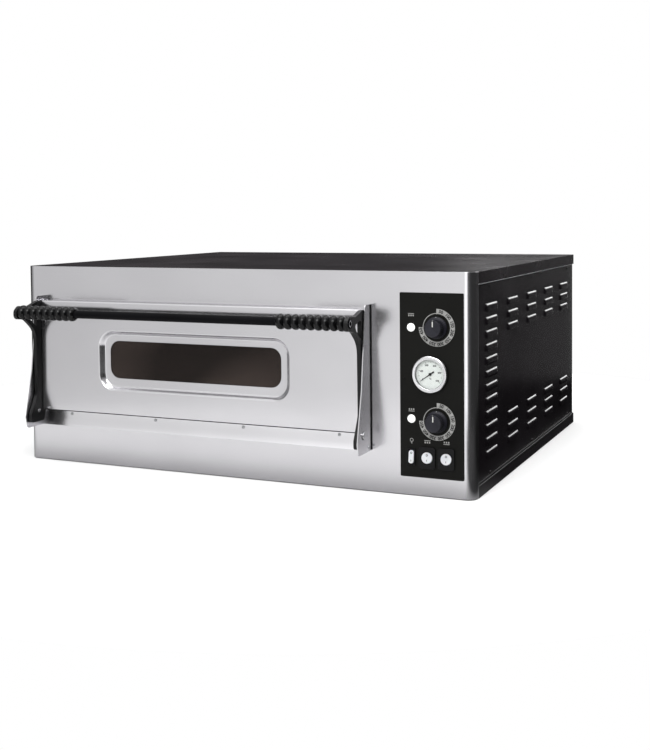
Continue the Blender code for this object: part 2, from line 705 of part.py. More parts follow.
def thermostat(level):
    """Thermostat behind the panel, its turning shaft and its knob."""
    z = KNOB_Z[level]
    shaft_radius = 0.003
    bore = 0.00308
    case_front = FRONT + 0.004
    case_rear = FRONT + 0.034
    body = box((KNOB_X - 0.022, case_front, z - 0.018), (KNOB_X + 0.022, case_rear, z + 0.018))
    collar_front = PANEL_FACE - 0.001
    collar = rod(0.004, case_front + 0.002 - collar_front,
                 at(KNOB_X, (collar_front + case_front + 0.002) / 2, z, TO_FRONT))
    combine(body, collar, "UNION")
    depth = 0.020
    channel = rod(bore, 2 * depth, at(KNOB_X, case_front, z, TO_FRONT))
    combine(body, channel)
    finish(body, f"thermostat_{level}", "galvanised")

    axis = pivot(f"knob_{level}_axis", KNOB_X, PANEL_FACE, z)
    shaft_rear = case_front + depth - 0.001
    shaft_front = PANEL_FACE - 0.018
    shaft = rod(shaft_radius, shaft_rear - shaft_front,
                at(KNOB_X, (shaft_rear + shaft_front) / 2, z, TO_FRONT))
    finish(shaft, f"shaft_{level}", "bright_steel")

    seat = 0.0015
    height = 0.0255
    hub = shaft_radius + 0.0001
    hub_depth = 0.0185
    knob = turned(((0, height), (0.0165, height), (0.0175, height - 0.001), (0.0185, 0.006),
                   (0.0205, 0.0045), (0.0205, seat), (hub + 0.0015, seat), (hub, seat),
                   (hub, hub_depth), (0, hub_depth)),
                  at(KNOB_X, PANEL_FACE, z, TO_FRONT))
    finish(knob, f"knob_{level}", "knob_black")
    hang_on(axis, shaft, knob)


def gauge():
    """Dial thermometer: case, white dial, pointer, glass and bright bezel."""
    place = at(GAUGE_X, PANEL_FACE, GAUGE_Z, TO_FRONT)
    case = turned(((0.0285, 0.0046), (0.0300, 0.0046), (0.0300, 0.0018), (0.0335, 0.0018),
                   (0.0335, GAP), (0.0300, GAP), (0.0300, -0.022), (0.0015, -0.022),
                   (0.0015, -0.0205), (0.0285, -0.0205)), place)
    finish(case, "gauge_case", "galvanised")
    dial = turned(((0.0015, 0.0014), (0.0280, 0.0014), (0.0280, 0.0005), (0.0015, 0.0005)),
                  place)
    finish(dial, "gauge_dial", "dial_white")
    glass = turned(((0, 0.0064), (0.0302, 0.0064), (0.0302, 0.0049), (0, 0.0049)), place)
    finish(glass, "gauge_glass", "glass_clear")
    bezel = turned(((0.0275, 0.0080), (0.0335, 0.0085), (0.0350, 0.0070), (0.0350, 0.0022),
                    (0.0306, 0.0022), (0.0306, 0.0067), (0.0275, 0.0067)), place)
    finish(bezel, "gauge_bezel", "bright_steel")

    axis = pivot("gauge_axis", GAUGE_X, PANEL_FACE, GAUGE_Z)
    hub = circle(0, 0, 0.0030, 16)
    point_angle = math.radians(215)
    reach = 0.0235
    tail = 0.009
    half_tip = 0.0003
    half_tail = 0.0014
    blade = [(reach, -half_tip), (reach, half_tip), (-tail, half_tail), (-tail, -half_tail)]
    turn = Matrix.Rotation(point_angle, 4, "Z")
    lift = 0.0026
    needle = flat([hub], 0.0010, place @ Matrix.Translation((0, 0, lift)))
    pointer = flat([blade], 0.0006, place @ Matrix.Translation((0, 0, lift)) @ turn)
    combine(needle, pointer, "UNION")
    spindle = rod(0.0010, 0.010, place @ Matrix.Translation((0, 0, -0.0025)), 12)
    combine(needle, spindle, "UNION")
    finish(needle, "gauge_needle", "plastic_black")
    hang_on(axis, needle)


def pilot_lamp(level):
    """Round signal lamp: domed lens and body through the panel."""
    lens = turned(((0, 0.0035), (0.0045, 0.0030), (0.0070, 0.0015), (0.0078, GAP),
                   (0.0060, GAP), (0.0060, -0.018), (0, -0.018)),
                  at(LAMP_X, PANEL_FACE, LAMP_Z[level], TO_FRONT), 20)
    finish(lens, f"pilot_lamp_{level}", "lens_white")


def round_switch(level):
    """Rocker switch with a rounded black housing and a round white rocker."""
    x = SWITCH_X[level]
    proud = 0.0035
    recess = 0.0113
    flange = flat([rectangle(x - 0.016, x + 0.016, SWITCH_Z - 0.0205, SWITCH_Z + 0.0205, 0.005)],
                  proud - GAP, at(0, PANEL_FACE - (proud + GAP) / 2, 0, TO_FRONT))
    body = box((x - 0.0140, PANEL_FACE - 0.001, SWITCH_Z - 0.0180),
               (x + 0.0140, PANEL_FACE + 0.026, SWITCH_Z + 0.0180))
    combine(flange, body, "UNION")
    well = rod(recess, 0.024, at(x, PANEL_FACE, SWITCH_Z, TO_FRONT))
    combine(flange, well)
    finish(flange, f"switch_body_{level}", "plastic_black")

    axis_y = PANEL_FACE - 0.001
    axis = pivot(f"rocker_{level}_axis", x, axis_y, SWITCH_Z)
    tilt = Matrix.Rotation(-ROCKER_TILT, 4, "X")
    rocker = rod(0.0105, 0.007, at(x, axis_y, SWITCH_Z, tilt @ TO_FRONT))
    finish(rocker, f"rocker_{level}", "white_plastic")
    hang_on(axis, rocker)


def light_switch():
    """Narrow rocker switch for the chamber lamp."""
    x = LAMP_X
    proud = 0.0030
    flange = flat([rectangle(x - 0.0080, x + 0.0080, SWITCH_Z - 0.0160, SWITCH_Z + 0.0160, 0.002, 3)],
                  proud - GAP, at(0, PANEL_FACE - (proud + GAP) / 2, 0, TO_FRONT))
    body = box((x - 0.0060, PANEL_FACE - 0.001, SWITCH_Z - 0.0140),
               (x + 0.0060, PANEL_FACE + 0.022, SWITCH_Z + 0.0140))
    combine(flange, body, "UNION")
    well = box((x - 0.0053, PANEL_FACE - 0.010, SWITCH_Z - 0.0132),
               (x + 0.0053, PANEL_FACE + 0.010, SWITCH_Z + 0.0132))
    combine(flange, well)
    finish(flange, "switch_body_light", "plastic_black")

    axis_y = PANEL_FACE - 0.001
    axis = pivot("rocker_light_axis", x, axis_y, SWITCH_Z)
    rocker = box((-0.0050, -0.0035, -0.0124), (0.0050, 0.0035, 0.0124))
    rocker.matrix_world = at(x, axis_y, SWITCH_Z, Matrix.Rotation(-ROCKER_TILT, 4, "X"))
    finish(rocker, "rocker_light", "white_plastic")
    hang_on(axis, rocker)


def wiring_gear():
    """Contactor and terminal block in the control bay, and the mains inlet gland."""
    wall = PARTITION + SHEET + GAP
    contactor = box((wall, 0.100, 0.180), (wall + 0.070, 0.150, 0.265))
    finish(contactor, "contactor", "grey_plastic")
    rear = REAR - 2 * SHEET - 2 * GAP
    block = box((0.355, rear - 0.030, 0.110), (0.475, rear, 0.145))
    finish(block, "terminal_block", "white_plastic")
    outside = SHEET
    gland = turned(((0.0065, outside + 0.012), (0.0110, outside + 0.012), (0.0140, outside + 0.009),
                    (0.0140, outside + GAP), (GLAND_RADIUS, outside + GAP),
                    (GLAND_RADIUS, -0.012), (0.0065, -0.012)),
                   at(GLAND_X, REAR - 2 * SHEET, GLAND_Z, TO_REAR))
    finish(gland, "cable_gland", "plastic_black")


casing()
chamber()
cheeks()
door(pivot("door_hinge", DOOR_CENTRE, PIVOT_Y, PIVOT_Z))
control_panel()
for knob_level in ("upper", "lower"):
    thermostat(knob_level)
    pilot_lamp(knob_level)
    round_switch(knob_level)
light_switch()
gauge()
wiring_gear()
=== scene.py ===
# %% [markdown]
# # Dressing a single-deck baking oven
# A baker's deck oven is a folded sheet-metal box round a low, stone-floored chamber. Its door drops down
# on two pins, its controls sit on a black strip at the right, and its sides are louvred to let heat out.
# The engineering model already has every working part at its true size and place. This lesson gives those
# parts the surface a maker would: bent edges, pressed recesses, turned beads, printed scales and finishes.

# %% Load the frame
import json
import math

import bmesh
import bpy
from mathutils import Matrix, Vector


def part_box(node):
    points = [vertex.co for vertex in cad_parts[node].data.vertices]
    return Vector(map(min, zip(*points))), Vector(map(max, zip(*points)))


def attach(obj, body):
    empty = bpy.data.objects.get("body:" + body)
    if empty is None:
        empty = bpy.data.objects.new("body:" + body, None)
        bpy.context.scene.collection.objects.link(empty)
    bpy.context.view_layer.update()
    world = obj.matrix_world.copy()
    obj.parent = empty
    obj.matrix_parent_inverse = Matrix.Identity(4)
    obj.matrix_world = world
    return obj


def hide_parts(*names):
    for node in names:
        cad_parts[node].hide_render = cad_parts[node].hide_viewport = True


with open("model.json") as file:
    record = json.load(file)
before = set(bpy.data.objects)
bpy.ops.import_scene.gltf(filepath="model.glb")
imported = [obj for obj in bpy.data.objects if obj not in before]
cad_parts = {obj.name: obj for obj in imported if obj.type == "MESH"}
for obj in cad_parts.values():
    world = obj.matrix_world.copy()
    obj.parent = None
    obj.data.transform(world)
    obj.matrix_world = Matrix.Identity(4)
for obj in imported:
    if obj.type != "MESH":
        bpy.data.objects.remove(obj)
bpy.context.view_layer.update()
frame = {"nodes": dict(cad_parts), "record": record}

NODES = frame["nodes"]
BODY_OF = {}
for body_name, members in frame["record"]["behaviour"]["bodies"].items():
    for member in members:
        BODY_OF[member] = body_name

# %% [markdown]
# ## Camera
# The oven is seen from a little above its top edge and from the right, by a longish lens. The lens is
# shifted instead of tilted, which keeps the upright edges upright, as is usual in catalogue views.

# %% Place the camera
EYE = Vector((1.1027, -2.4113, 0.5321))
YAW, PITCH, ROLL = (math.radians(angle) for angle in (24.198, -2.56, 0.514))

lens = bpy.data.cameras.new("camera")
lens.lens = 54.55
lens.shift_x = -0.0017
lens.shift_y = -0.150
camera = bpy.data.objects.new("camera", lens)
camera.matrix_world = (Matrix.Translation(EYE) @ Matrix.Rotation(YAW, 4, "Z") @ Matrix.Rotation(PITCH, 4, "X")
                       @ Matrix.Rotation(ROLL, 4, "Y") @ Matrix.Rotation(math.pi / 2, 4, "X"))
bpy.context.scene.collection.objects.link(camera)
bpy.context.scene.camera = camera
bpy.context.scene.view_settings.view_transform = "Standard"
print("camera at", tuple(EYE))

# %% [markdown]
# ## Colours and nodes
# Finish charts give colours as sRGB hex values, but a shader counts light, so each value is made linear
# first. One small function adds a node with its settings and its links, and one more starts a material
# from the constants of its shader. Every recipe below is built from these two.

# %% Colour and node helpers
def linear(hex_value, alpha=1.0):
    """sRGB hex to the linear colour that shaders use."""
    channels = [int(hex_value[i:i + 2], 16) / 255 for i in (1, 3, 5)]
    return (*[c / 12.92 if c <= 0.04045 else ((c + 0.055) / 1.055) ** 2.4 for c in channels], alpha)


def add_node(material, kind, links=None, stops=(), **settings):
    """One node: settings are its properties, links are socket: value or socket: another node's output,
    and stops are the (position, hex value) pairs of a colour ramp."""
    node = material.node_tree.nodes.new(kind)
    for name, value in settings.items():
        setattr(node, name, value)
    for index, (position, hex_value) in enumerate(stops):
        stop = node.color_ramp.elements[index]
        stop.position = position
        stop.color = linear(hex_value)
    for socket, value in (links or {}).items():
        if isinstance(value, bpy.types.NodeSocket):
            material.node_tree.links.new(value, node.inputs[socket])
        else:
            node.inputs[socket].default_value = value
    return node


def start_material(name, **constants):
    """A material with its Principled shader set from constants, underscores standing for spaces."""
    material = bpy.data.materials.new(name)
    material.use_nodes = True
    shader = material.node_tree.nodes["Principled BSDF"]
    for socket, value in constants.items():
        shader.inputs[socket.replace("_", " ")].default_value = value
    return material, shader


print("helpers ready")

# %% [markdown]
# ## From a pattern to a surface
# A real finish varies in three ways at once: in colour, in how sharp its reflections are, and in relief.
# All three can follow patterns that are laid out in real millimetres on the object. A single recipe turns
# up to three patterns into those three properties, so that each finish below is only a choice of patterns,
# two colours, two roughness values and a depth.

# %% Pattern and surface recipes
MM = 1000.0              # pattern units a metre for a 1 mm grain
MIDDLE = (0.3, 0.7)      # most of a noise pattern lies between these values


def stretched(material, per_metre):
    """Object coordinates, scaled to so many pattern units a metre along X, Y and Z."""
    where = add_node(material, "ShaderNodeTexCoord")
    sized = add_node(material, "ShaderNodeMapping", {"Vector": where.outputs["Object"], "Scale": per_metre})
    return sized.outputs["Vector"]


def noise(material, per_metre, detail=2.0, roughness=0.5):
    """A noise value between 0 and 1 whose grains are one pattern unit across."""
    grain = add_node(material, "ShaderNodeTexNoise",
                     {"Vector": stretched(material, per_metre), "Scale": 1.0, "Detail": detail,
                      "Roughness": roughness})
    return grain.outputs["Fac"]


def surface(material, shader, tone, colours, gloss, roughness, relief=None, strength=0.0, depth=0.0,
            tone_range=MIDDLE, gloss_range=MIDDLE):
    """Two colours by the tone pattern, two roughness values by the gloss pattern, and a relief pattern
    that is a depth in metres high."""
    links = material.node_tree.links
    colour = add_node(material, "ShaderNodeValToRGB", {"Fac": tone}, stops=zip(tone_range, colours))
    links.new(colour.outputs["Color"], shader.inputs["Base Color"])
    dulled = add_node(material, "ShaderNodeMapRange",
                      {"Value": gloss, "From Min": gloss_range[0], "From Max": gloss_range[1],
                       "To Min": roughness[0], "To Max": roughness[1]})
    links.new(dulled.outputs["Result"], shader.inputs["Roughness"])
    if relief:
        raised = add_node(material, "ShaderNodeBump",
                          {"Height": relief, "Strength": strength, "Distance": depth})
        links.new(raised.outputs["Normal"], shader.inputs["Normal"])
    return material


print("surface recipe ready")

# %% [markdown]
# ## Sheet steels
# The front, the door and the cheeks are satin stainless steel. A belt of fine abrasive drags short parallel
# scratches along the sheet, so a highlight smears across the grain and stays crisp along it. True scratches
# are about 0.1 mm wide and would vanish at this distance, so they are drawn about 1 mm wide and very faint.
# Larger, softer clouds stand for handling marks and for the slight waviness of thin sheet.

# %% Stainless, galvanised and aluminised steel
def satin_stainless_belt_ground(name, dark, light):
    """Cool grey: what touches it is mirrored clearly, what stands off blurs; the grain runs along X."""
    material, shader = start_material(name, Metallic=1.0, Anisotropic=0.3)
    scratches = noise(material, (9.0, 900.0, 900.0), 3.0, 0.6)
    clouds = noise(material, (5.0, 5.0, 8.0), 2.0)
    return surface(material, shader, clouds, (dark, light), scratches, (0.18, 0.22), scratches, 0.03, 0.00004)


def polished_stainless_turned():
    """Pins, shafts and rims: bright, with faint rings left by the lathe."""
    material, shader = start_material("stainless_steel_turned", Metallic=1.0)
    rings = noise(material, (1.2 * MM,) * 3, 1.0)
    return surface(material, shader, rings, ("#D2D2D4", "#E6E6E8"), rings, (0.10, 0.20))


def hot_dip_galvanised():
    """Rear sheet and brackets: zinc crystals 8 to 15 mm wide, each a slightly different grey."""
    material, shader = start_material("galvanised_steel_spangled", Metallic=1.0)
    spangle = add_node(material, "ShaderNodeTexVoronoi",
                       {"Vector": stretched(material, (90.0, 90.0, 90.0)), "Scale": 1.0})
    greys = add_node(material, "ShaderNodeRGBToBW", {"Color": spangle.outputs["Color"]}).outputs["Val"]
    return surface(material, shader, greys, ("#A9ABAD", "#BFC1C3"), greys, (0.32, 0.48),
                   tone_range=(0.1, 0.9), gloss_range=(0.1, 0.9))


def aluminised_heat_tinted():
    """Chamber lining: dull aluminium skin, straw and brown where the baking heat has tinted it."""
    material, shader = start_material("aluminised_steel_heat_tinted", Metallic=1.0)
    tint = noise(material, (9.0, 6.0, 14.0), 4.0, 0.6)
    dimples = noise(material, (400.0, 400.0, 400.0))
    return surface(material, shader, tint, ("#A9A6A2", "#8C7A66"), tint, (0.34, 0.52), dimples, 0.15, 0.0001,
                   tone_range=(0.30, 0.75))


SATIN = satin_stainless_belt_ground("stainless_steel_belt_ground", "#D0CFD2", "#D5D4D7")
# painted light: the sill strip gets a lighter copy of the satin steel, for the light that its upward tilt
# catches
SATIN_PAINTED_LIGHTER = satin_stainless_belt_ground("stainless_steel_belt_ground_painted_lighter", "#E2E1E4", "#E9E8EB")
POLISHED = polished_stainless_turned()
GALVANISED = hot_dip_galvanised()
LINING = aluminised_heat_tinted()
print("steels:", SATIN.name, SATIN_PAINTED_LIGHTER.name, POLISHED.name, GALVANISED.name, LINING.name)

# %% [markdown]
# ## Paint and enamel
# The sides and the base are black powder coat, the cover a warmer brown-black one. Powder flows into a skin
# with a shallow orange-peel ripple 1 to 2 mm across, which breaks up reflections more than any scratch.
# Paint is not metal: it mirrors only a few hundredths of the light head-on and much more at a glance.

# %% Powder coats, panel ink and enamel
def powder_coat(name, dark, light, roughness, ripple_mm, relief, gloss=0.2):
    """Baked paint with an orange-peel ripple; dust and wipe marks vary its gloss in broad patches."""
    material, shader = start_material(name, IOR=1.5, Specular_IOR_Level=gloss)
    clouds = noise(material, (6.0, 6.0, 9.0), 4.0)
    peel = noise(material, (MM / ripple_mm,) * 3, 1.0)
    return surface(material, shader, clouds, (dark, light), clouds, (roughness - 0.04, roughness + 0.05),
                   peel, relief, 0.00012)


def cast_iron_enamelled():
    """Arms: sand-cast iron under black enamel, so the skin is glossy over a faint cast grain."""
    material, shader = start_material("cast_iron_black_enamel", IOR=1.5, Specular_IOR_Level=0.2,
                                      Coat_Weight=0.15, Coat_Roughness=0.08)
    grain = noise(material, (MM / 1.6,) * 3, 3.0)
    return surface(material, shader, grain, ("#060607", "#0E0E0F"), grain, (0.26, 0.38), grain, 0.25, 0.0002)


SIDE_PAINT = powder_coat("powder_coat_black_satin", "#141114", "#1A161A", 0.22, 1.6, 0.10, 0.30)
COVER_PAINT = powder_coat("powder_coat_brown_black", "#1A1619", "#241F23", 0.24, 1.6, 0.003)
PANEL_PAINT = powder_coat("powder_coat_panel_black", "#0C0C0A", "#121210", 0.40, 1.2, 0.06, 0.10)
BAR_PAINT = powder_coat("tube_black_gloss_coat", "#08080A", "#0F0F11", 0.14, 2.0, 0.04, 0.04)
CAST = cast_iron_enamelled()
print("paints:", SIDE_PAINT.name, COVER_PAINT.name, PANEL_PAINT.name, BAR_PAINT.name, CAST.name)

# %% [markdown]
# ## Plastics, inks and painted shade
# Knobs are moulded ABS with a matt spark-eroded grain, the grips are glossy phenolic resin, which stays cool
# and shows flow marks, rockers are white polycarbonate that lets a little light in, and lamp lenses are
# opal polycarbonate with a faint painted glow. Screen inks are matt and faintly mottled, and a dull black
# draws the painted shade of the dark lines at the cheeks' roots and under the door.

# %% Moulded plastics, printed inks and painted shade black
def moulded(name, dark, light, roughness, grain_mm, relief, **constants):
    """Injection-moulded part: one colour with faint flow clouds, and the grain of the mould's wall."""
    material, shader = start_material(name, IOR=1.5, **constants)
    flow = noise(material, (60.0, 60.0, 60.0), 3.0)
    grain = noise(material, (MM / grain_mm,) * 3, 2.0)
    return surface(material, shader, flow, (dark, light), grain, (roughness - 0.04, roughness + 0.05),
                   grain, relief, 0.00006)


PHENOLIC = moulded("phenolic_resin_black_gloss", "#060607", "#0C0C0D", 0.18, 1.5, 0.05,
                   Specular_IOR_Level=0.22)
KNOB_ABS = moulded("abs_spark_grained_charcoal", "#191920", "#22222A", 0.42, 0.5, 0.30,
                   Specular_IOR_Level=0.25)
GLOSS_BLACK = moulded("polyamide_black_gloss", "#060607", "#0C0C0E", 0.14, 1.2, 0.04, Specular_IOR_Level=0.16)
# painted shade: this dull black draws the dark lines of shadow at the cheeks' roots and under the door
SHADE_BLACK = moulded("black_painted_shade", "#070708", "#0D0D0E", 0.50, 1.5, 0.10, Specular_IOR_Level=0.15)
WHITE_PC = moulded("polycarbonate_white_moulded", "#C9CBCF", "#D6D8DB", 0.24, 1.0, 0.04,
                   Subsurface_Weight=0.1, Subsurface_Scale=0.002)
# painted glow: the opal lens gives off a faint light of its own, though nothing inside it is lit
LENS_PAINTED_GLOW = moulded("polycarbonate_lens_opal_painted_glow", "#EDEDEB", "#FAFAF9", 0.12, 1.5, 0.02,
                     Emission_Color=(1.0, 1.0, 0.98, 1.0), Emission_Strength=0.25)
GREY_PLASTIC = moulded("polyamide_grey_moulded", "#7E8083", "#8E9094", 0.42, 0.6, 0.20)
PRINT_GREY = moulded("screen_ink_grey", "#8A8A88", "#A2A2A0", 0.55, 0.5, 0.10)
PRINT_WHITE = moulded("screen_ink_white", "#CFCFCB", "#DEDEDA", 0.55, 0.5, 0.10)
PRINT_BLACK = moulded("screen_ink_black", "#0E0E0E", "#181818", 0.60, 0.5, 0.10, Specular_IOR_Level=0.2)
DIAL_WHITE = moulded("dial_plate_white_enamel", "#EFEFEE", "#F8F8F7", 0.42, 0.8, 0.05)
print("plastics:", PHENOLIC.name, KNOB_ABS.name, GLOSS_BLACK.name, WHITE_PC.name, SHADE_BLACK.name)

# %% [markdown]
# ## Glass
# The outer window pane is smoked, so the chamber shows only as a brown gloom. Glass could be one refracting
# shader, but a thin flat pane barely bends light, so it is made from a clear and a mirror shader that are
# mixed by the angle. That lets the studio light through to what is behind.

# %% Window panes and the thermometer's glass
WHITE = (1.0, 1.0, 1.0, 1.0)


def pane(name, seen_through, mirror_roughness, haze, haze_share, gloss_ior):
    """Flat glass with a thin haze: tints what is seen through it, mirrors more towards the edge of sight."""
    material = bpy.data.materials.new(name)
    material.use_nodes = True
    material.node_tree.nodes.clear()
    smudge = noise(material, (5.0, 5.0, 9.0), 0.0)
    tone = add_node(material, "ShaderNodeValToRGB", {"Fac": smudge}, stops=zip((0.2, 0.8), seen_through))
    tint = add_node(material, "ShaderNodeBsdfTransparent", {"Color": tone.outputs["Color"]})
    mirror = add_node(material, "ShaderNodeBsdfGlossy",
                      {"Color": WHITE, "Roughness": mirror_roughness})
    film = add_node(material, "ShaderNodeBsdfDiffuse", {"Color": linear(haze)})
    share = add_node(material, "ShaderNodeMapRange", {"Value": smudge, "From Min": 0.35, "From Max": 0.65,
                                                      "To Min": 0.3 * haze_share, "To Max": haze_share})
    body = add_node(material, "ShaderNodeMixShader",
                    {0: share.outputs["Result"], 1: tint.outputs["BSDF"], 2: film.outputs["BSDF"]})
    angle = add_node(material, "ShaderNodeFresnel", {"IOR": gloss_ior})
    both = add_node(material, "ShaderNodeMixShader",
                    {0: angle.outputs["Fac"], 1: body.outputs["Shader"], 2: mirror.outputs["BSDF"]})
    add_node(material, "ShaderNodeOutputMaterial", {"Surface": both.outputs["Shader"]})
    return material


CLEAR_GLASS = pane("float_glass_clear", ("#FAFCFB", "#FFFFFF"), 0.02, "#E8ECEA", 0.01, 1.30)
SMOKED_GLASS = pane("float_glass_smoked_brown", ("#7A6A60", "#8E7E72"), 0.05, "#443B37", 0.6, 1.20)
print("glass:", CLEAR_GLASS.name, SMOKED_GLASS.name)

# %% [markdown]
# ## Stone, wool and heater
# The deck is made of two cordierite baking stones: pale, gritty, and toasted in patches by many loaves.
# Behind the lining lies mineral wool, and under and over the deck run sheathed heating elements, whose
# steel tube turns dark and matt with its first firing.

# %% Fired and fibrous materials
def cordierite_toasted():
    """Baking stone: pale sandy body, 1 to 2 mm grit, and brown toasted clouds."""
    material, shader = start_material("cordierite_stone_toasted", IOR=1.5)
    grit = noise(material, (MM / 1.8,) * 3, 4.0, 0.7)
    toast = noise(material, (7.0, 7.0, 7.0), 4.0, 0.6)
    return surface(material, shader, toast, ("#D8CCB6", "#A98E68"), grit, (0.80, 0.95), grit, 0.5, 0.0005,
                   tone_range=(0.35, 0.75), gloss_range=(0.2, 0.8))


def mineral_wool_slab():
    """Insulation: straw-white fibres lying in flat layers, with no shine at all."""
    material, shader = start_material("mineral_wool_layered", IOR=1.45)
    fibres = noise(material, (60.0, 60.0, 500.0), 4.0, 0.7)
    return surface(material, shader, fibres, ("#C9C3A8", "#E4E0CC"), fibres, (0.90, 1.0), fibres, 0.8, 0.002)


def sheathed_element_fired():
    """Heating element: nickel-steel tube oxidised to a warm dark grey."""
    material, shader = start_material("element_sheath_oxidised", Metallic=0.8)
    scale = noise(material, (120.0, 120.0, 120.0), 4.0, 0.6)
    return surface(material, shader, scale, ("#3F3733", "#5C5450"), scale, (0.45, 0.65), scale, 0.3, 0.0003)


STONE = cordierite_toasted()
WOOL = mineral_wool_slab()
ELEMENT = sheathed_element_fired()
print("fired materials:", STONE.name, WOOL.name, ELEMENT.name)

# %% [markdown]
# ## From mesh to piece
# Every new shape ends the same way: its faces are turned outwards, round surfaces are smoothed while edges
# over 30 degrees stay crisp, it gets its finish, and it is told which moving body carries it. A weighted
# normal makes the broad flat faces keep their true direction, so that only the bent edges catch the light.

# %% Finish a piece
CRISP = math.radians(30)


def make_piece(work, name, body, material, stands_for=(), wall=0.0, closed=True):
    """Turn a bmesh into a named piece that rides on a body; a wall thickens an open sheet inwards."""
    if closed:
        bmesh.ops.recalc_face_normals(work, faces=work.faces)
    mesh = bpy.data.meshes.new(name)
    work.to_mesh(mesh)
    work.free()
    mesh.materials.append(material)
    mesh.shade_smooth()
    mesh.set_sharp_from_angle(angle=CRISP)
    piece = bpy.data.objects.new(name, mesh)
    bpy.context.scene.collection.objects.link(piece)
    if wall:
        sheet = piece.modifiers.new("sheet", "SOLIDIFY")
        sheet.thickness = wall
        sheet.offset = -1.0
    even = piece.modifiers.new("flat_faces_first", "WEIGHTED_NORMAL")
    even.keep_sharp = True
    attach(piece, body)
    if stands_for:
        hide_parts(*stands_for)
    print(f"{name}: {len(mesh.polygons)} faces on {body}")
    return piece


print("edges over", round(math.degrees(CRISP)), "degrees stay crisp")

# %% [markdown]
# ## Softened copies and placements
# An engineering part has razor-sharp edges, which no bent, cast or moulded part has, and a render shows it
# at once because nothing catches the light. The part is copied, its loose triangles are welded, and every
# sharp edge is bevelled by the small radius of its making. Placements turn flat work out of a wall.

# %% Weld, soften and place
def weld(work):
    """Merge points that lie together, and join the triangles of each flat face."""
    bmesh.ops.remove_doubles(work, verts=work.verts, dist=0.00001)
    bmesh.ops.dissolve_limit(work, angle_limit=math.radians(0.5), verts=work.verts, edges=work.edges)


def soften(work, radius, segments=2, sharper_than=35):
    """Round every edge that is sharper than an angle."""
    edges = [edge for edge in work.edges
             if edge.is_manifold and edge.calc_face_angle(0.0) > math.radians(sharper_than)]
    bmesh.ops.bevel(work, geom=edges, offset=radius, offset_type="OFFSET", affect="EDGES",
                    segments=segments, profile=0.5, clamp_overlap=True, material=-1)


def softened(node, material, radius, segments=2):
    """A copy of a CAD part with the small edge radius that bending, casting or moulding leaves."""
    work = bmesh.new()
    work.from_mesh(NODES[node].data)
    weld(work)
    if radius:
        soften(work, radius, segments)
    return make_piece(work, f"{node}_finished", BODY_OF[node], material, (node,))


def centre(node):
    """Middle of a CAD part's box."""
    low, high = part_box(node)
    return (low + high) / 2


TO_FRONT = Matrix.Rotation(math.pi / 2, 4, "X")                                # local Z out of the front
TO_SIDE = Matrix(((0, 0, 1, 0), (1, 0, 0, 0), (0, 1, 0, 0), (0, 0, 0, 1)))     # local Z out of the right side
TO_REAR = Matrix.Rotation(-math.pi / 2, 4, "X")                                # local Z out of the rear


def place(x, y, z, turn):
    """A placement: turned first, then moved."""
    return Matrix.Translation((x, y, z)) @ turn


def outwards(sign):
    """The turn that points local Z out of the right side, or with a sign of -1 out of the left."""
    return TO_SIDE if sign > 0 else TO_SIDE @ Matrix.Rotation(math.pi, 4, "X")


print("piece helpers ready")

# %% [markdown]
# ## The folded casing
# The front sheet wraps round two vertical corners, and the cover and the base are shallow folded trays.
# Sheet this thin is bent over a sharp tool and leaves an outer radius about as wide as the sheet is thick.
# That radius draws the thin bright line along every fold, so each part is copied and its edges are rounded.

# %% Casing sheets
# the sill strip's lighter steel is painted light, for the light that its tilt catches
for node, finish, radius in (("front_panel", SATIN, 0.0005), ("top_cover", COVER_PAINT, 0.0008),
                             ("base_pan", SIDE_PAINT, 0.0008), ("sill_strip", SATIN_PAINTED_LIGHTER, 0.0004),
                             ("rear_panel", GALVANISED, 0.0004), ("partition_plate", GALVANISED, 0.0)):
    softened(node, finish, radius)

# %% [markdown]
# ## Hinge cheeks and their painted shade line
# Each cheek is a bent wedge that stands on the front sheet. Its root is folded to a wider radius than its
# free edges, and a thin black bead runs down the root: painted shade, for the dark line of shadow in the
# joint. The root fold gets a bevel of its own before the rest is softened, and the bead is a slim block.

# %% Cheeks
CHEEK_BEND = 0.0019          # radius of the root fold
CHEEK_EDGE = 0.0004
BEAD = 0.0017                # width of the black bead of painted shade
BEAD_SHORT = 0.0010          # distance that the bead stops short of each end
NEAR = 0.0001


def add_block(work, where, width, tall, thick, x=0.0, y=0.0, z=0.0, turn=0.0):
    """A small block, centred at (x, y) on a placement's plane and standing on height z."""
    block = bmesh.ops.create_cube(work, size=1.0)["verts"]
    spin = Matrix.Rotation(turn, 4, "Z")
    size = Matrix.Diagonal((width, tall, thick, 1.0))
    bmesh.ops.transform(work, verts=block,
                        matrix=where @ spin @ Matrix.Translation((x, y, z + thick / 2)) @ size)


def cheek(side, outward):
    """One cheek with its root fold, and the black bead of painted shade beside it."""
    node = f"cheek_{side}"
    low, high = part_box(node)
    outside = high.x if outward > 0 else low.x
    work = bmesh.new()
    work.from_mesh(NODES[node].data)
    weld(work)
    root = [edge for edge in work.edges
            if all(max(abs(vert.co.x - outside), abs(vert.co.y - high.y)) < NEAR for vert in edge.verts)]
    bmesh.ops.bevel(work, geom=root, offset=CHEEK_BEND, offset_type="OFFSET", affect="EDGES",
                    segments=4, profile=0.5, clamp_overlap=True, material=-1)
    soften(work, CHEEK_EDGE)
    make_piece(work, f"{node}_finished", "casing", SATIN, (node,))
    bead = bmesh.new()
    foot = Matrix.Translation((outside + outward * BEAD / 2, high.y - BEAD / 2, low.z + BEAD_SHORT))
    add_block(bead, foot, BEAD, BEAD, high.z - low.z - 2 * BEAD_SHORT)
    soften(bead, BEAD * 0.3)
    make_piece(bead, f"{node}_painted_shade_bead", "casing", SHADE_BLACK)


for side, outward in (("left", -1), ("right", 1)):
    cheek(side, outward)

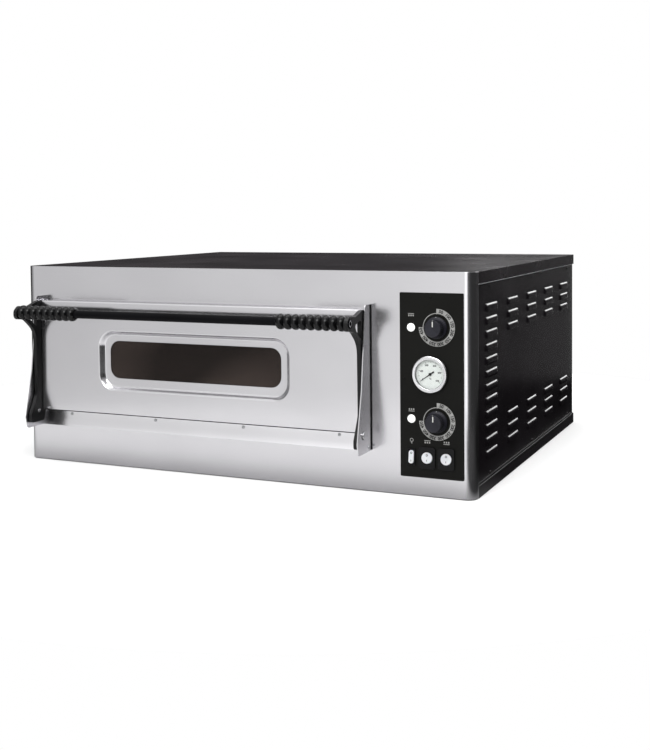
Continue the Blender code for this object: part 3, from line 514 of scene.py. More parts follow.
# %% [markdown]
# ## Louvred side panels
# A press shears each louvre along its lower edge and bulges the metal above it outwards, so flour dust
# stays out while warm air escapes. The panel starts as one flat grid. Straight cuts put edge lines where
# the louvres need them, the lower edges are split open, and the points above each slot are pushed out along
# a quarter-round profile. A Solidify modifier then gives the whole sheet its thickness.

# %% Side panels
LOUVRE_LONG = 0.076
LOUVRE_TALL = 0.0135
LOUVRE_PROUD = 0.0033
LOUVRE_SHOULDER = 0.0060     # height over which the bulge rises from the sheet
LOUVRE_END = 0.0070          # length of its rounded ends
BULGE_STEPS = (0.0, 0.06, 0.22, 0.5, 1.0)        # shares of the shoulder and the ends that get a line
COLUMN_START, COLUMN_PITCH, COLUMNS = 0.0567, 0.157, 5
ROW_START, ROW_PITCH, ROWS = 0.0407, 0.02545, 12
CLUSTER = 3                  # rows at the top and at the bottom of every column but the first


def quarter_round(distance, reach):
    """Rises from 0 to 1 over the reach, steep at first, like a quarter of a circle."""
    part = min(max(distance / reach, 0.0), 1.0)
    return math.sqrt(1.0 - (1.0 - part) ** 2)


def louvres(low, high):
    """(first y, last y, lower z, upper z) of each louvre on a side panel."""
    spots = []
    for column in range(COLUMNS):
        for row in range(ROWS):
            if column == 0 or row < CLUSTER or row >= ROWS - CLUSTER:
                y = low.y + COLUMN_START + column * COLUMN_PITCH
                z = high.z - ROW_START - row * ROW_PITCH
                spots.append((y, y + LOUVRE_LONG, z - LOUVRE_TALL, z))
    return spots


def side_panel(side, sign):
    """One sheet: a grid cut along the louvres, split under them, and bulged above the slots."""
    low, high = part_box(f"side_panel_{side}")
    outside = high.x if sign > 0 else low.x
    spots = louvres(low, high)
    work = bmesh.new()
    bmesh.ops.create_grid(work, x_segments=1, y_segments=1, size=0.5)
    size = Matrix.Diagonal((high.y - low.y, high.z - low.z, 1.0, 1.0))
    middle = place(outside, (low.y + high.y) / 2, (low.z + high.z) / 2, TO_SIDE)
    bmesh.ops.transform(work, matrix=middle @ size, verts=work.verts)
    y_cuts = {round(edge + LOUVRE_END * share * way, 6) for first, last, _, _ in spots
              for edge, way in ((first, 1), (last, -1)) for share in BULGE_STEPS}
    z_cuts = {round(top - LOUVRE_SHOULDER * share, 6) for _, _, _, top in spots for share in BULGE_STEPS}
    z_cuts |= {round(bottom, 6) for _, _, bottom, _ in spots}
    for axis, cuts in ((1, y_cuts), (2, z_cuts)):
        normal = [0, 0, 0]
        normal[axis] = 1
        for cut in sorted(cuts):
            point = [outside, 0, 0]
            point[axis] = cut
            bmesh.ops.bisect_plane(work, geom=work.verts[:] + work.edges[:] + work.faces[:],
                                   plane_co=point, plane_no=normal, dist=0.000001)
    near = 0.00005
    slots = []
    for edge in work.edges:
        a, b = (vert.co for vert in edge.verts)
        middle = (a + b) / 2
        if abs(a.z - b.z) < near and any(first < middle.y < last and abs(middle.z - bottom) < near
                                         for first, last, bottom, _ in spots):
            slots.append(edge)
    bmesh.ops.split_edges(work, edges=slots)
    raised = set()
    for face in work.faces:
        spot = face.calc_center_median()
        for first, last, bottom, top in spots:
            if first < spot.y < last and bottom < spot.z < top:
                for vert in face.verts:
                    if vert not in raised:
                        raised.add(vert)
                        ends = min(vert.co.y - first, last - vert.co.y)
                        lift = quarter_round(top - vert.co.z, LOUVRE_SHOULDER)
                        lift *= quarter_round(ends, LOUVRE_END)
                        vert.co.x += sign * LOUVRE_PROUD * lift
    facing = sum(face.normal.x * face.calc_area() for face in work.faces)
    if facing * sign < 0:
        bmesh.ops.reverse_faces(work, faces=work.faces)
    make_piece(work, f"side_panel_{side}_louvred", "casing", SIDE_PAINT,
               (f"side_panel_{side}",), wall=high.x - low.x, closed=False)


for side, sign in (("right", 1), ("left", -1)):
    side_panel(side, sign)

# %% [markdown]
# ## The pressed door skin
# The door's face is one sheet, drawn by a press: its rim is folded back to the hinge side, and a shallow
# tray is pressed round the window. Metal that is drawn cannot have sharp edges, so the tray's wall follows
# an S-curve. One face with rounded corners is inset again and again: the first ring is stretched to the
# tray's edge, the next ones step down the wall, and the last is stretched to the window's opening.

# %% Rounded outlines
def rounded_rectangle(left, right, low, high, radius, y):
    """The numbers of a rounded rectangle that stands at a given y."""
    return {"left": left, "right": right, "low": low, "high": high, "radius": radius, "y": y}


def shrunk(shape, by):
    """The same rounded rectangle, moved in on all sides."""
    return rounded_rectangle(shape["left"] + by, shape["right"] - by, shape["low"] + by, shape["high"] - by,
                             shape["radius"] - by, shape["y"])


def corner_of(shape, vert_x, vert_z):
    """Centre of the corner arc that a point belongs to."""
    radius = shape["radius"]
    x = shape["right"] - radius if vert_x > 0 else shape["left"] + radius
    z = shape["high"] - radius if vert_z > 0 else shape["low"] + radius
    return x, z


def reshape(verts, old, new):
    """Move the points of one rounded rectangle onto another, corner arc by corner arc."""
    middle_x, middle_z = (old["left"] + old["right"]) / 2, (old["low"] + old["high"]) / 2
    for vert in verts:
        way = (vert.co.x - middle_x, vert.co.z - middle_z)
        old_x, old_z = corner_of(old, *way)
        new_x, new_z = corner_of(new, *way)
        grow = new["radius"] / old["radius"]
        vert.co = (new_x + (vert.co.x - old_x) * grow, new["y"], new_z + (vert.co.z - old_z) * grow)


def inset(work, face, thickness, depth=0.0):
    """Shrink a face by a thickness, leaving a ring of faces round it, and push it back by a depth."""
    bmesh.ops.inset_region(work, faces=[face], thickness=thickness, depth=-depth,
                           use_boundary=True, use_even_offset=True)


print("outline helpers ready")

# %% Door skin
SHEET = 0.0012
RIM_RADIUS = 0.0040          # the sheet's four corners, seen from the front
CORNER_STEPS = 8
WALL_STEPS = 8
FIRST_RING = 0.0010
WINDOW_INSIDE = 0.1472       # window tray's edge from the door's side edge
TRAY_LOW, TRAY_HIGH = 0.048, 0.175      # tray's edges above the door's lower edge
TRAY_RADIUS = 0.035
TRAY_DEPTH, TRAY_WALL = 0.0100, 0.0110
OPENING_INSIDE = 0.1702
OPENING_LOW, OPENING_HIGH = 0.074, 0.1525
OPENING_RADIUS = 0.022
TURNED_IN = 0.0008           # lip at the edge of the window's opening
RIM_FOLD = 0.0018            # radius of the fold round the door's rim
CROWN_TALL, CROWN_DEEP, CROWN_STEPS = 0.016, 0.0022, 6     # the upper edge leans back a little
FRONT_SKIN = 0.003           # only points this close to the front lean back


def flat_blank(outline):
    """The sheet before it is pressed: one face with rounded corners."""
    work = bmesh.new()
    corners = bmesh.ops.create_grid(work, x_segments=1, y_segments=1, size=0.5)["verts"]
    size = Matrix.Diagonal((outline["right"] - outline["left"], outline["high"] - outline["low"], 1.0, 1.0))
    middle = place((outline["left"] + outline["right"]) / 2, outline["y"],
                   (outline["low"] + outline["high"]) / 2, TO_FRONT)
    bmesh.ops.transform(work, matrix=middle @ size, verts=corners)
    bmesh.ops.bevel(work, geom=corners, offset=outline["radius"], offset_type="OFFSET", affect="VERTICES",
                    segments=CORNER_STEPS, profile=0.5, clamp_overlap=False, material=-1)
    return work


def press_tray(work, outline, tray, opening):
    """Rings from the rim to the tray, down its wall and to the opening; gives back the rim's edges."""
    face = max(work.faces, key=lambda f: f.calc_area())
    inset(work, face, FIRST_RING)
    rim = [edge for edge in work.edges if edge.is_boundary]
    reshape(face.verts, shrunk(outline, FIRST_RING), tray)
    before = 0.0
    for step in range(1, WALL_STEPS + 1):
        part = step / WALL_STEPS
        depth = TRAY_DEPTH * part * part * (3 - 2 * part)
        inset(work, face, TRAY_WALL / WALL_STEPS, depth - before)
        before = depth
    inset(work, face, FIRST_RING)
    reshape(face.verts, shrunk(tray, TRAY_WALL + FIRST_RING), opening)
    turned = bmesh.ops.extrude_face_region(work, geom=[face])
    back = [item for item in turned["geom"] if isinstance(item, bmesh.types.BMFace)]
    lip_verts = list({vert for item in back for vert in item.verts})
    bmesh.ops.translate(work, verts=lip_verts, vec=(0, TURNED_IN, 0))
    bmesh.ops.delete(work, geom=back + [item for item in (face,) if item.is_valid], context="FACES")
    return rim


def fold_rim(work, rim, reach):
    """Turn the rim back towards the hinge side, over a small radius."""
    fold = bmesh.ops.extrude_edge_only(work, edges=rim)
    fold_verts = [item for item in fold["geom"] if isinstance(item, bmesh.types.BMVert)]
    bmesh.ops.translate(work, verts=fold_verts, vec=(0, reach, 0))
    bmesh.ops.bevel(work, geom=rim, offset=RIM_FOLD, offset_type="OFFSET", affect="EDGES",
                    segments=4, profile=0.5, clamp_overlap=True, material=-1)
    bmesh.ops.remove_doubles(work, verts=work.verts, dist=0.000005)


def crown_upper_edge(work, front, top):
    """Cut a few lines below the upper edge and lean the strip between them back."""
    foot = top - CROWN_TALL
    for step in range(CROWN_STEPS):
        bmesh.ops.bisect_plane(work, geom=work.verts[:] + work.edges[:] + work.faces[:], dist=0.000001,
                               plane_co=(0, 0, foot + CROWN_TALL * step / CROWN_STEPS), plane_no=(0, 0, 1))
    for vert in work.verts:
        if vert.co.z > foot and vert.co.y < front + FRONT_SKIN:
            vert.co.y += CROWN_DEEP * ((vert.co.z - foot) / CROWN_TALL) ** 2


low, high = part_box("door_skin")
outline = rounded_rectangle(low.x, high.x, low.z, high.z, RIM_RADIUS, low.y)
tray = rounded_rectangle(low.x + WINDOW_INSIDE, high.x - WINDOW_INSIDE,
                         low.z + TRAY_LOW, low.z + TRAY_HIGH, TRAY_RADIUS, low.y)
opening = rounded_rectangle(low.x + OPENING_INSIDE, high.x - OPENING_INSIDE, low.z + OPENING_LOW,
                            low.z + OPENING_HIGH, OPENING_RADIUS, low.y + TRAY_DEPTH)
skin = flat_blank(outline)
fold_rim(skin, press_tray(skin, outline, tray, opening), high.y - low.y)
crown_upper_edge(skin, low.y, high.z)
bmesh.ops.recalc_face_normals(skin, faces=skin.faces)
if sum(item.normal.y * item.calc_area() for item in skin.faces) > 0:
    bmesh.ops.reverse_faces(skin, faces=skin.faces)
make_piece(skin, "door_skin_pressed", "door", SATIN, ("door_skin",),
           wall=SHEET, closed=False)

# %% [markdown]
# ## Door's painted shade strip and glazing
# A flat black strip under the door's lower edge is painted shade: it draws the dark line of shadow between
# the door and the sill strip. It rides on the door, so it leaves the sill as the door opens. The inner panel
# and the two panes keep their own shape.

# %% Painted shade strip, inner panel and panes
LIP_DEEP, LIP_TALL = 0.0180, 0.0016
LIP_SHORT = 0.0030           # distance that the strip stops short of each side
LIP_SET_BACK = 0.0105        # middle of the strip behind the door's face
LIP_HANGS = 0.0014           # how far the strip hangs below the door
# painted shade: a black strip where the shadow under the door falls
lip = bmesh.new()
lip_at = Matrix.Translation(((low.x + high.x) / 2, low.y + LIP_SET_BACK, low.z - LIP_HANGS))
add_block(lip, lip_at, high.x - low.x - 2 * LIP_SHORT, LIP_DEEP, LIP_TALL)
soften(lip, 0.0003)
make_piece(lip, "door_lip_painted_shade", "door", SHADE_BLACK)
softened("door_inner_panel", POLISHED, 0.0006)
for node, glass in (("window_glass_outer", SMOKED_GLASS), ("window_glass_inner", CLEAR_GLASS)):
    softened(node, glass, 0.0004)

# %% [markdown]
# ## Arms, bar and grips
# Two cast arms carry the handle bar away from the hot door. Castings have no sharp edges, because sand
# would crumble in the mould, so their outline is rounded generously. The bar is a black tube, and the grips
# are turned beads of resin that slip over it: one profile, drawn by a formula and spun round the bar.

# %% Turning helpers
def spun(profile, where, steps, name, body, material, stands_for=()):
    """A (radius, height) profile spun round local Z and placed; closed if it starts and ends off the axis."""
    work = bmesh.new()
    verts = [work.verts.new((radius, 0.0, height)) for radius, height in profile]
    edges = [work.edges.new(pair) for pair in zip(verts, verts[1:])]
    if profile[0][0] > 0 and profile[-1][0] > 0:
        edges.append(work.edges.new((verts[-1], verts[0])))
    bmesh.ops.spin(work, geom=verts + edges, cent=(0, 0, 0), axis=(0, 0, 1), angle=math.tau,
                   steps=steps, use_merge=True)
    bmesh.ops.remove_doubles(work, verts=work.verts, dist=0.000002)
    bmesh.ops.transform(work, matrix=where, verts=work.verts)
    make_piece(work, name, body, material, stands_for)


def arc(radius_at, height_at, radius, start, end, steps):
    """Profile points along an arc, its angles in degrees from straight outwards."""
    angles = [math.radians(start + (end - start) * step / steps) for step in range(steps + 1)]
    return [(radius_at + radius * math.cos(a), height_at + radius * math.sin(a)) for a in angles]


print("turning helpers ready")

# %% Handle bar and its end nuts
bar_low, bar_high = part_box("handle_bar")
bar_at = centre("handle_bar")
bar_radius = (bar_high.z - bar_low.z) / 2
bar_half = (bar_high.x - bar_low.x) / 2
BAR_WALL = 0.0015
EDGE = 0.0005                # rounding of the tube's cut ends
tube = (arc(bar_radius - EDGE, bar_half - EDGE, EDGE, 90, 0, 3)
        + arc(bar_radius - EDGE, -bar_half + EDGE, EDGE, 0, -90, 3)
        + [(bar_radius - BAR_WALL, -bar_half), (bar_radius - BAR_WALL, bar_half)])
spun(tube, place(bar_at.x, bar_at.y, bar_at.z, TO_SIDE), 48, "handle_bar_tube", "door", BAR_PAINT,
     ("handle_bar",))

INSERT_IN, INSERT_OUT, INSERT_LONG = 0.0038, 0.0068, 0.0030      # bright ring nut in each end of the bar
INSERT_SUNK = 0.0003
for end, sign in (("right", 1), ("left", -1)):
    near, far = sign * (bar_half - INSERT_LONG), sign * (bar_half - INSERT_SUNK)
    insert = [(INSERT_IN, near), (INSERT_IN, far), (INSERT_OUT, far), (INSERT_OUT, near)]
    spun(insert, place(bar_at.x, bar_at.y, bar_at.z, TO_SIDE), 32, f"bar_insert_{end}", "door", POLISHED)

# %% Grips, arms and pins
BEADS = 9
NECK = 0.0102                # radius between two beads
BEAD_STEPS = 10
FULLNESS = 0.6               # below 1 a bead is fuller than a plain sine wave


def bead_profile(length, crest, bore):
    """Beads from height 0 down to -length, then back up inside the bore."""
    pitch = length / BEADS
    points = []
    for step in range(BEADS * BEAD_STEPS + 1):
        swing = abs(math.sin(math.pi * step / BEAD_STEPS)) ** FULLNESS
        points.append((NECK + (crest - NECK) * swing, -pitch * step / BEAD_STEPS))
    return points + [(bore, -length), (bore, 0.0)]


for side, sign in (("right", 1), ("left", -1)):
    node = f"grip_{side}"
    low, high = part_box(node)
    outer_end = high.x if sign > 0 else low.x
    turn = outwards(sign)
    profile = bead_profile(high.x - low.x, (high.z - low.z) / 2, bar_radius + 0.0003)
    spun(profile, place(outer_end, bar_at.y, bar_at.z, turn), 40, f"{node}_beads", "door", PHENOLIC,
         (node,))
    softened(f"arm_{side}", CAST, 0.0016, 3)
    softened(f"hinge_pin_{side}", POLISHED, 0.0004)

# %% [markdown]
# ## Control panel and its printing
# The black panel carries scales and small pictograms, printed in one pass with grey ink. Ink lies on the
# paint as a layer a few hundredths of a millimetre thick. Here each print is a very thin solid, 0.1 mm
# thick, so that it also shows in a mesh. The scale is a band that widens from a thin ring where the knob
# is off, with the temperatures let into it.

# %% Printed marks
PANEL_LOW, PANEL_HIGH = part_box("control_panel")
FACE = PANEL_LOW.y
INK = 0.0001


def on_panel(x, z, height=0.0):
    """Placement on the panel's face, local X and Y along it, a height in front of it."""
    return place(x, FACE - height, z, TO_FRONT)


def add_ring(work, where, inner, outer, thick, z=0.0, start=0.0, sweep=360.0, steps=72):
    """A flat band round a placement's origin; angles run clockwise in degrees from 12 o'clock."""
    corners = [work.verts.new(spot) for spot in
               ((inner, 0, z), (outer, 0, z), (outer, 0, z + thick), (inner, 0, z + thick))]
    edges = [work.edges.new((corners[i], corners[(i + 1) % 4])) for i in range(4)]
    whole = sweep >= 360.0
    first = Matrix.Rotation(math.radians(90.0 - start), 4, "Z")
    bmesh.ops.transform(work, matrix=first, verts=corners)
    ends = [] if whole else [work.faces.new(corners)]
    bmesh.ops.spin(work, geom=corners + edges + ends, cent=(0, 0, 0), axis=(0, 0, -1),
                   angle=math.radians(min(sweep, 360.0)), steps=steps, use_merge=whole)
    band = set(corners)      # the band's points are gathered by walking its edges, then placed together
    reach = list(corners)
    while reach:
        vert = reach.pop()
        for edge in vert.link_edges:
            other = edge.other_vert(vert)
            if other not in band:
                band.add(other)
                reach.append(other)
    bmesh.ops.transform(work, matrix=where, verts=list(band))


def add_figures(work, words, size, where, thick, x=0.0, y=0.0, turn=0.0):
    """Figures as thin solids, centred at (x, y) on a placement's plane."""
    curve = bpy.data.curves.new("figures", "FONT")
    curve.body = words
    curve.size = size
    curve.align_x = "CENTER"
    curve.align_y = "CENTER"
    curve.extrude = thick / 2
    curve.offset = 0.035 * size
    curve.resolution_u = 3
    text = bpy.data.objects.new("figures", curve)
    bpy.context.scene.collection.objects.link(text)
    bpy.context.view_layer.update()
    mesh = bpy.data.meshes.new_from_object(text.evaluated_get(bpy.context.evaluated_depsgraph_get()))
    spot = where @ Matrix.Translation((x, y, thick / 2)) @ Matrix.Rotation(turn, 4, "Z")
    mesh.transform(spot)
    work.from_mesh(mesh)
    bpy.data.objects.remove(text)
    bpy.data.curves.remove(curve)
    bpy.data.meshes.remove(mesh)


print("print helpers ready")

# %% Knob scales
BAND_INNER, BAND_OUTER, THIN_RING = 0.0258, 0.0350, 0.0271       # radii
SCALE_SWEEP = 270.0          # degrees, clockwise from 12 o'clock
FIRST_MARK, LAST_MARK = 16.0, SCALE_SWEEP - 14.0
MARKS = 9
FIGURE_SIZE = 0.0084
for level in ("upper", "lower"):
    at = centre(f"knob_{level}")
    here = on_panel(at.x, at.z)
    scale = bmesh.new()
    add_ring(scale, here, BAND_INNER, BAND_OUTER, INK, 0.0, 0.0, SCALE_SWEEP)
    add_ring(scale, here, BAND_INNER, THIN_RING, INK, 0.0, SCALE_SWEEP, 360.0 - SCALE_SWEEP, 24)
    add_block(scale, here, 0.0010, 0.0100, INK, 0.0, BAND_INNER + 0.0040)
    make_piece(scale, f"scale_band_{level}", "casing", PRINT_GREY)
    figures = bmesh.new()
    middle = (BAND_INNER + BAND_OUTER) / 2
    for mark in range(MARKS):
        clockwise = math.radians(FIRST_MARK + mark * (LAST_MARK - FIRST_MARK) / (MARKS - 1))
        add_figures(figures, str(50 * (mark + 1)), FIGURE_SIZE, on_panel(at.x, at.z, INK), INK / 2,
                    middle * math.sin(clockwise), middle * math.cos(clockwise), -clockwise)
    make_piece(figures, f"scale_figures_{level}", "casing", PRINT_BLACK)

# %% [markdown]
# ## Pictograms
# Small symbols tell the baker what each lamp and switch belongs to: a chamber outline with its heater at
# the top or at the bottom, and a bulb for the light. They are drawn from bars and rings of one line width.

# %% Small symbols
LINE = 0.0008                # width of every printed line
LAMP_GAPS = {"upper": 0.0235, "lower": 0.0165}       # from a lamp's middle up to its symbol
SWITCH_GAP = 0.0300          # from a switch's middle up to its symbol


def chamber_symbol(work, x, z, heater_on_top):
    """Three short heat marks beside a bar that stands for the deck."""
    where = on_panel(x, z)
    bar = 0.0022 if heater_on_top else -0.0022
    add_block(work, where, 0.0120, LINE * 1.4, INK, 0.0, bar)
    for step in (-1, 0, 1):
        add_block(work, where, 0.0024, 0.0030, INK, step * 0.0042, -bar * 0.6)


def bulb_symbol(work, x, z):
    """A ring for the bulb with its cap below."""
    add_ring(work, on_panel(x, z + 0.0015), 0.0026, 0.0026 + LINE, INK, steps=20)
    add_block(work, on_panel(x, z), 0.0028, LINE, INK, 0.0, -0.0030)
    add_block(work, on_panel(x, z), 0.0020, LINE, INK, 0.0, -0.0046)


symbols = bmesh.new()
for level, on_top in (("upper", True), ("lower", False)):
    lamp = centre(f"pilot_lamp_{level}")
    chamber_symbol(symbols, lamp.x, lamp.z + LAMP_GAPS[level], on_top)
    switch = centre(f"switch_body_{level}")
    chamber_symbol(symbols, switch.x, switch.z + SWITCH_GAP, on_top)
light = centre("switch_body_light")
bulb_symbol(symbols, light.x, light.z + SWITCH_GAP)
make_piece(symbols, "panel_symbols", "casing", PRINT_GREY)
softened("control_panel", PANEL_PAINT, 0.0003)

# %% [markdown]
# ## Knobs
# A thermostat knob has a skirt that hides the panel's hole and a raised body whose side is fluted, so that
# floury fingers can turn it. The body is spun, then every second column of faces on its side is drawn in.
# A white pointer bar is let into the top and runs over the skirt's edge.

# %% Fluted knobs
FLUTES = 30
FLUTE_DEEP = 0.0007
FLUTE_STEPS = 3              # columns of faces to a flute


def knob(level, material):
    """A spun skirt and body with drawn-in flutes, and the white bars that point at the scale."""
    node = f"knob_{level}"
    low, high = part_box(node)
    at = centre(node)
    seat, top = FACE - high.y, FACE - low.y
    skirt = (high.x - low.x) / 2
    body = skirt * 0.80
    work = bmesh.new()
    profile = ([(0.0, top - 0.0006), (body - 0.0035, top - 0.0006)]
               + arc(body - 0.0018, top - 0.0016, 0.0016, 90, 0, 4)
               + [(body, seat + 0.0058)] + arc(skirt - 0.0012, seat + 0.0022, 0.0012, 90, 0, 3)
               + [(skirt, seat), (0.0062, seat), (0.0062, top - 0.006), (0.0, top - 0.006)])
    verts = [work.verts.new((radius, 0.0, height)) for radius, height in profile]
    edges = [work.edges.new(pair) for pair in zip(verts, verts[1:])]
    bmesh.ops.spin(work, geom=verts + edges, cent=(0, 0, 0), axis=(0, 0, 1), angle=math.tau,
                   steps=FLUTES * FLUTE_STEPS, use_merge=True)
    bmesh.ops.remove_doubles(work, verts=work.verts, dist=0.000002)
    for vert in work.verts:
        spot = vert.co
        reach = math.hypot(spot.x, spot.y)
        if seat + 0.003 < spot.z < top - 0.0003 and reach > body - 0.0012:
            column = round(math.atan2(spot.y, spot.x) / math.tau * FLUTES * FLUTE_STEPS)
            if column % FLUTE_STEPS == 0:
                spot.xy *= 1 - FLUTE_DEEP / reach
    here = on_panel(at.x, at.z)
    bmesh.ops.transform(work, matrix=here, verts=work.verts)
    body_name = BODY_OF[node]
    make_piece(work, f"{node}_fluted", body_name, material, (node,))
    pointer = bmesh.new()
    add_block(pointer, here, 0.0018, body - 0.0040, 0.0005, 0.0, body / 2 + 0.0014, top - 0.0008)
    add_block(pointer, here, 0.0014, 0.0036, 0.0004, 0.0, body + 0.0019, seat + 0.0030)
    soften(pointer, 0.0002, 2)
    make_piece(pointer, f"{node}_pointer", body_name, PRINT_WHITE)


for level in ("upper", "lower"):
    knob(level, KNOB_ABS)
    softened(f"shaft_{level}", POLISHED, 0.0003)
    softened(f"thermostat_{level}", GALVANISED, 0.0006)

# %% [markdown]
# ## Thermometer
# A bimetal thermometer reads the chamber. Its rim is a rolled steel ring that catches the light twice, its
# dial is white with fine black ticks, and its pointer is a thin blade on a round hub. Ticks are placed by
# angle, every fifth one long, and the hundreds stand inside them.

# %% Gauge rim
gauge = centre("gauge_bezel")
gauge_low, gauge_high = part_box("gauge_bezel")
rim_out = (gauge_high.x - gauge_low.x) / 2
rim_top, rim_seat = FACE - gauge_low.y, FACE - gauge_high.y
rim_in = 0.0275
rim = ([(rim_in, rim_seat + 0.0045), (rim_in, rim_top - 0.0012)]
       + arc(rim_in + 0.0010, rim_top - 0.0012, 0.0010, 180, 60, 5)
       + arc(rim_out - 0.0035, rim_top - 0.0033, 0.0033, 85, 0, 8)
       + [(rim_out, rim_seat), (rim_out - 0.0044, rim_seat), (rim_out - 0.0044, rim_seat + 0.0045)])
spun(rim, on_panel(gauge.x, gauge.z), 64, "gauge_rim_rolled", "casing", POLISHED,
     ("gauge_bezel",))

# %% Dial print
SCALE_FROM, SCALE_RANGE = 215.0, 255.0       # degrees: first mark, and clockwise to the last one
TICKS = 50
LONG_TICK, SHORT_TICK = (0.0026, 0.0006), (0.0014, 0.0003)       # length and width
TICKS_OUT_TO = 0.0240
FIGURES_AT = 0.0180
dial_print = bmesh.new()
dial_plane = on_panel(gauge.x, gauge.z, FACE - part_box("gauge_dial")[0].y)
for tick in range(TICKS + 1):
    angle = math.radians(SCALE_FROM - SCALE_RANGE * tick / TICKS)
    length, width = LONG_TICK if tick % 5 == 0 else SHORT_TICK
    add_block(dial_print, dial_plane, length, width, INK, TICKS_OUT_TO - length / 2, turn=angle)
for hundred in range(6):
    angle = math.radians(SCALE_FROM - SCALE_RANGE * hundred / 5)
    add_figures(dial_print, str(100 * hundred), 0.0046, dial_plane, INK,
                FIGURES_AT * math.cos(angle), FIGURES_AT * math.sin(angle))
add_figures(dial_print, "°C", 0.0044, dial_plane, INK, 0.0, -0.0085)
make_piece(dial_print, "gauge_scale_print", "casing", PRINT_BLACK)
softened("gauge_dial", DIAL_WHITE, 0.0)
softened("gauge_case", GALVANISED, 0.0)
softened("gauge_glass", CLEAR_GLASS, 0.0)
softened("gauge_needle", GLOSS_BLACK, 0.0)

# %% [markdown]
# ## Lamps, rockers and switches
# Pilot lamps are small domes of opal plastic in a thin rim. The two round rockers sit in glossy black
# housings with a raised collar, and the light switch is a narrow rocker of the same family. A round rocker's
# face is slightly hollow where the finger presses, so it is spun from a dished profile; the narrow one is a
# block with rounded ends.

# %% Lamps and switches
# the pilot lamps' domes glow faintly: painted glow
for level in ("upper", "lower"):
    node = f"pilot_lamp_{level}"
    low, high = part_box(node)
    at = centre(node)
    reach = (high.x - low.x) / 2
    top = FACE - low.y
    dome = [(0.0, top)] + [(reach * 0.86 * math.sin(a), 0.0008 + (top - 0.0008) * math.cos(a))
                           for a in (math.radians(15 * step) for step in range(1, 7))]
    dome += [(reach * 0.90, 0.0014), (reach, 0.0011), (reach, 0.0003), (0.0060, 0.0003),
             (0.0060, FACE - high.y), (0.0, FACE - high.y)]
    spun(dome, on_panel(at.x, at.z), 40, f"{node}_dome", "casing", LENS_PAINTED_GLOW, (node,))
    softened(f"switch_body_{level}", GLOSS_BLACK, 0.0009, 3)
softened("switch_body_light", GLOSS_BLACK, 0.0006, 3)

# %% Rockers and their marks
TILT = -math.radians(8.0)
ROCKER_DEPTH = 0.0035
MARK = 0.0002                # height of a printed mark, sunk into the rocker's face by a hair


def rocker_axis(node):
    """Placement at a rocker's middle, local Z out of its tilted face."""
    at = centre(node)
    return place(at.x, at.y, at.z, Matrix.Rotation(TILT, 4, "X") @ TO_FRONT)


def rocker_mark(node, ring_at, inner, outer, bar_at, height):
    """A ring for off and a bar for on."""
    axis = rocker_axis(node)
    mark = bmesh.new()
    add_ring(mark, axis @ Matrix.Translation((0, ring_at, 0)), inner, outer, MARK, height, steps=16)
    add_block(mark, axis, 0.0010, 0.0034, MARK, 0.0, bar_at, height)
    make_piece(mark, f"{node}_mark", BODY_OF[node], PRINT_BLACK)


for level in ("upper", "lower"):
    node = f"rocker_{level}"
    cap = ([(0.0, ROCKER_DEPTH - 0.0004), (0.0050, ROCKER_DEPTH - 0.00025), (0.0085, ROCKER_DEPTH)]
           + arc(0.0105 - 0.0010, ROCKER_DEPTH - 0.0010, 0.0010, 80, 0, 4)
           + [(0.0105, -ROCKER_DEPTH), (0.0, -ROCKER_DEPTH)])
    spun(cap, rocker_axis(node), 48, f"{node}_cap", BODY_OF[node], WHITE_PC, (node,))
    rocker_mark(node, 0.0050, 0.0012, 0.0021, -0.0048, ROCKER_DEPTH - 0.0002)

node = "rocker_light"
axis = rocker_axis(node)
cap = bmesh.new()
add_block(cap, axis, 0.0100, 0.0248, 2 * ROCKER_DEPTH, z=-ROCKER_DEPTH)
ends = [edge for edge in cap.edges
        if abs((edge.verts[0].co - edge.verts[1].co).normalized().dot(axis.col[2].xyz)) > 0.9]
bmesh.ops.bevel(cap, geom=ends, offset=0.0049, offset_type="OFFSET", affect="EDGES", segments=8,
                profile=0.5, clamp_overlap=True, material=-1)
soften(cap, 0.0006, 2, 50)
make_piece(cap, f"{node}_cap", BODY_OF[node], WHITE_PC, (node,))
rocker_mark(node, 0.0075, 0.0011, 0.0020, -0.0070, ROCKER_DEPTH - 0.0001)

# %% [markdown]
# ## Screws
# Pan-head screws hold the strip, the panel and the casing sheets. Each head is a grid of 25 faces whose
# border is drawn onto a circle; the middle cross is pushed in for the driver and the border is pulled down
# to the sheet. One function makes a head, and loops place them where the sheets overlap.

